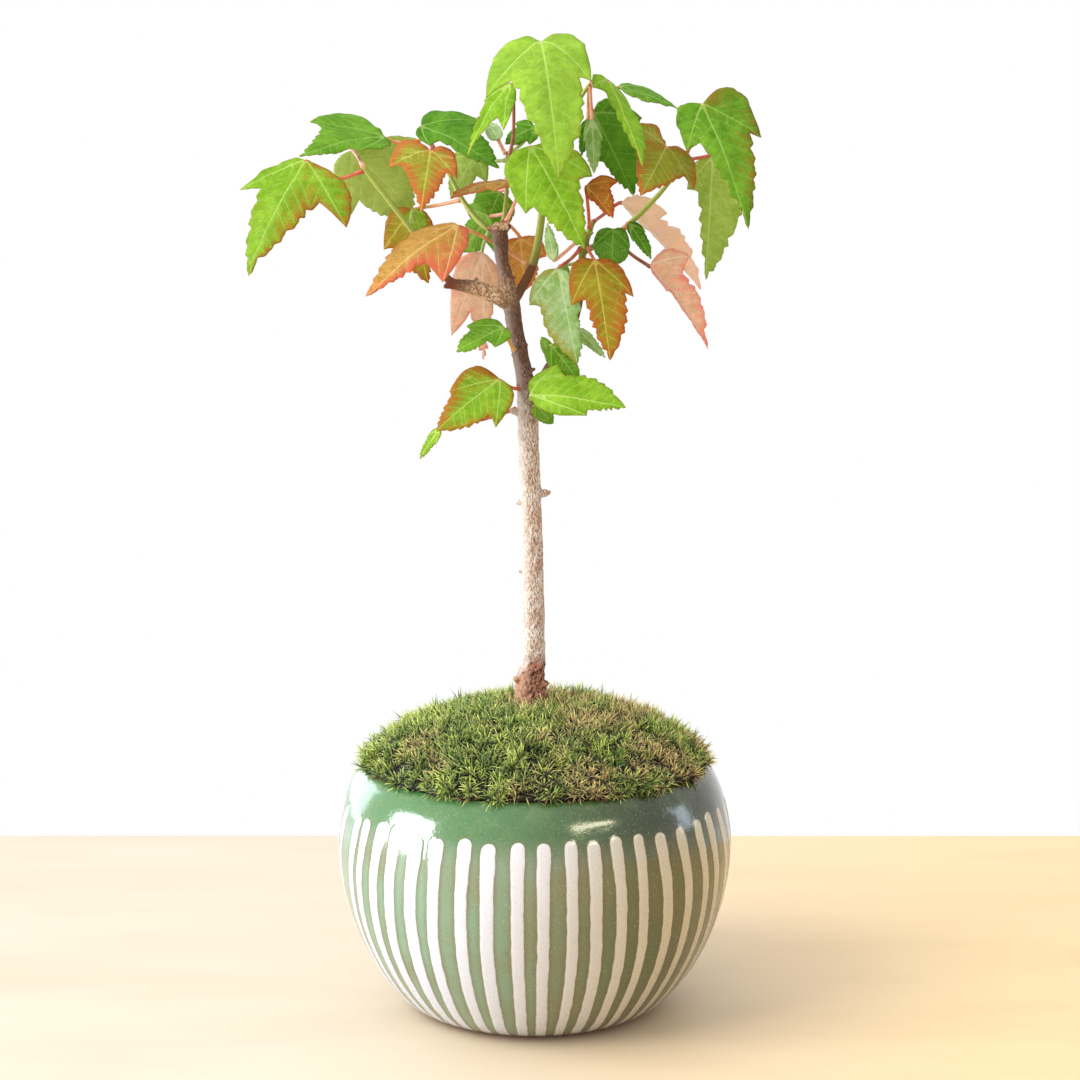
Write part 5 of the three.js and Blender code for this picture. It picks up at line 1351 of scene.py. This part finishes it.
def two_sides(places, faces, thick):
    """The back and front points of a thin sheet, its triangles, and the quads of its rim."""
    corners = places[faces]
    facing = np.cross(corners[:, 1] - corners[:, 0], corners[:, 2] - corners[:, 0])
    normals = np.zeros_like(places)
    for i in range(3):
        np.add.at(normals, faces[:, i], facing)
    normals /= np.maximum(norm(normals, axis=1, keepdims=True), 1e-9)
    offset = normals * thick[:, None] / 2
    ways = np.vstack([faces[:, [0, 1]], faces[:, [1, 2]], faces[:, [2, 0]]])
    _, first, uses = np.unique(np.sort(ways, axis=1), axis=0, return_index=True, return_counts=True)
    start, end = ways[first[uses == 1]].T
    count = len(places)
    rim = np.stack([end, start, start + count, end + count], axis=1)
    return np.vstack([places + offset, places - offset]), np.vstack([faces, faces[:, ::-1] + count]), rim


def make_leaf(number, name, materials):
    form = LEAVES[name]
    draw = np.random.default_rng(100 + number)
    chord = norm(np.subtract(form["tip"], form["base"]))
    gap = min(max(0.66 / chord, 0.019), 0.05)
    outline, lobes = blade_outline(form, draw)
    ribs, veins = blade_veins(outline, lobes, gap)
    flat, faces = flat_blade(outline, ribs + veins, gap)
    arch = radians(form["arch"])
    length = chord * arch / 2 / sin(arch / 2)

    sheet = flat * length
    rib_gap, rib_share = gap_to_lines(sheet, [rib * length for rib in ribs])
    vein_gap, _ = gap_to_lines(sheet, [vein * length for vein in veins])
    edge_gap, _ = gap_to_lines(sheet, [np.vstack([outline, outline[:1]]) * length])
    bulk = (chord / 28) ** 0.5
    seeded = np.column_stack([sheet, np.full(len(sheet), 31.0 * number)])
    lift = 0.17 * bulk * (1 - np.exp(-((np.minimum(vein_gap, rib_gap) / 1.1) ** 2)))
    lift -= 0.16 * bulk * np.exp(-((rib_gap / 0.5) ** 2)) * (1 - 0.6 * rib_share)
    lift += chord * 0.028 * fields(seeded, 0.33 * chord, 1) + 0.2 * bulk * fields(seeded, 2.6, 2)
    lift += smooth_step(edge_gap, 0.12 * chord, 0) * chord * 0.022 * fields(seeded, 0.16 * chord, 3)
    lift *= smooth_step(np.hypot(*sheet.T), 0, 0.12 * chord)
    places, _ = bend_blade(form, sheet[:, 0], sheet[:, 1] / length, lift)
    thick = MARGIN_THICKNESS + (BLADE_THICKNESS - MARGIN_THICKNESS) * smooth_step(edge_gap, 0, 1)
    blade, triangles, rim = two_sides(places, faces, thick)
    rod, rod_quads, rod_caps = stalk_rod(form)

    left, right = form["flush"] or (TONE_FLUSH[form["tone"]],) * 2
    amount = left + (right - left) * smooth_step(sheet[:, 0], -0.04 * chord, 0.06 * chord)
    near_edge = np.exp(-edge_gap / (0.07 * chord))
    flush = amount * (0.45 + 0.65 * near_edge) + 0.18 * fields(seeded, 0.2 * chord, 5) * (amount > 0.02)
    count = len(sheet)
    on_blade = {
        "rib_gap": rib_gap,
        "rib_width": 0.08 + 0.2 * bulk * (1 - rib_share) ** 0.8,
        "vein_gap": vein_gap,
        "edge_gap": edge_gap,
        "flush": np.clip(flush, 0, 1.2),
        "shade": np.full(count, form["shade"]),
    }
    values = {
        key: np.concatenate([numbers, numbers, np.full(len(rod), ON_STALK.get(key, 0.0))])
        for key, numbers in on_blade.items()
    }
    values["under"] = np.repeat((1, 0), (count, count + len(rod)))
    triangle_groups = [triangles, rod_caps + len(blade)]
    quad_groups = [rim, rod_quads + len(blade)]
    kinds = np.repeat((0, 1, 0, 1), [len(group) for group in triangle_groups + quad_groups])
    groups = [np.vstack(triangle_groups), np.vstack(quad_groups)]
    piece = make_piece(f"leaf_{name}_blade", np.vstack([blade, rod]), groups, materials, values, kinds)
    declare(piece, f"leaf_{form['tone']}", f"leaf_{name}")


def make_leaves():
    blades = {tone: leaf_material(tone) for tone in TONES}
    stalks = {kind: stalk_material(kind) for kind in STALKS}
    for number, (name, form) in enumerate(LEAVES.items()):
        make_leaf(number, name, [blades[form["tone"]], stalks[form["stalk"]]])


# ---- Floor and light ----

FLOOR_SIDE = 1300  # to the left and right of the pot
FLOOR_FRONT = -1500
FLOOR_BACK = 158
FLOOR_THICKNESS = 24


def make_floor():
    look = Surface("studio_floor")
    cloud = look.noise(40, 4, 0.6, stretch=(0.25, 1, 1))
    colour = look.mix((214, 201, 180), (226, 198, 152), look.ramp(look.value("side"), -70, 130))
    colour = look.mix(colour, (0.86, 0.83, 0.78, 1), look.ramp(cloud, 0.4, 0.7, 0, 0.5), kind="MULTIPLY")
    material = look.finish(colour, 0.55, look.bump(look.noise(1.5, 2), 0.02), Specular_IOR_Level=0.3)
    edge = [
        (FLOOR_FRONT, -0.05), (FLOOR_BACK - 4, -0.05), (FLOOR_BACK - 1.2, -0.6), (FLOOR_BACK, -2.5),
        (FLOOR_BACK, -FLOOR_THICKNESS), (FLOOR_FRONT, -FLOOR_THICKNESS),
    ]
    points = np.array([(side, y, z) for side in (-FLOOR_SIDE, FLOOR_SIDE) for y, z in edge])
    left, right = np.arange(len(points)).reshape(2, -1)
    faces = [ring_faces(left, right), np.array([left, right[::-1]])]
    make_piece("studio_floor", points, faces, [material], {"side": points[:, 0]}, smooth=False)


def make_light(name, azimuth, elevation, distance, size, power, colour, glossy_only):
    """A soft rectangular light that faces the tree. Azimuth is from the front towards the right."""
    lamp = bpy.data.lights.new(name, "AREA")
    lamp.shape = "RECTANGLE"
    lamp.size, lamp.size_y = (side * MM for side in size)
    lamp.energy = power
    lamp.color = paint(*colour)[:3]
    light = bpy.data.objects.new(name, lamp)
    side, rise = radians(azimuth), radians(elevation)
    way = Vector((sin(side) * cos(rise), -cos(side) * cos(rise), sin(rise)))
    light.location = (Vector((0, 0, 60)) + way * distance) * MM
    light.rotation_euler = way.to_track_quat("Z", "Y").to_euler()
    light.visible_diffuse = light.visible_transmission = not glossy_only
    light.visible_glossy = glossy_only
    bpy.context.scene.collection.objects.link(light)


def make_world():
    """Plain white behind the scene, and a soft light that is stronger from the left."""
    world = bpy.data.worlds.new("studio")
    bpy.context.scene.world = world
    world.use_nodes = True
    sky = Nodes(world.node_tree)
    split = sky.node("SeparateXYZ", Vector=sky.node("TexCoord").outputs["Generated"])
    strength = sky.node("MapRange", Value=split.outputs["X"], From_Min=-1, From_Max=1, To_Min=1.5, To_Max=0.9)
    soft = sky.node("Background", Color=paint(252, 252, 255), Strength=strength.outputs["Result"])
    white = sky.node("Background", Color=(1, 1, 1, 1), Strength=1.0)
    seen = sky.node("LightPath").outputs["Is Camera Ray"]
    sky.node("OutputWorld", Surface=sky.blend(seen, soft, white).outputs[0])
    bpy.context.scene.view_settings.view_transform = "Standard"


def make_lights():
    make_light("window_key", -62, 36, 1300, (900, 900), 15, (255, 250, 242), False)
    make_light("window_glint", -77, 11, 1200, (600, 440), 46, (246, 250, 255), True)
    make_light("edge_glint", -140, 9, 1300, (700, 600), 5, (226, 240, 255), True)
    make_light("small_glint", 38, 30, 1400, (640, 110), 4.2, (255, 246, 214), True)
    make_light("far_glint", 100, 14, 1300, (300, 380), 1.8, (206, 222, 240), True)


make_camera()
make_pot()
crumbs = soil_material()
dress_cad("soil", crumbs)
dress_cad("drain_net", net_material())
make_crumbs(crumbs)
make_moss()
make_tree()
make_leaves()
make_floor()
make_lights()
make_world()
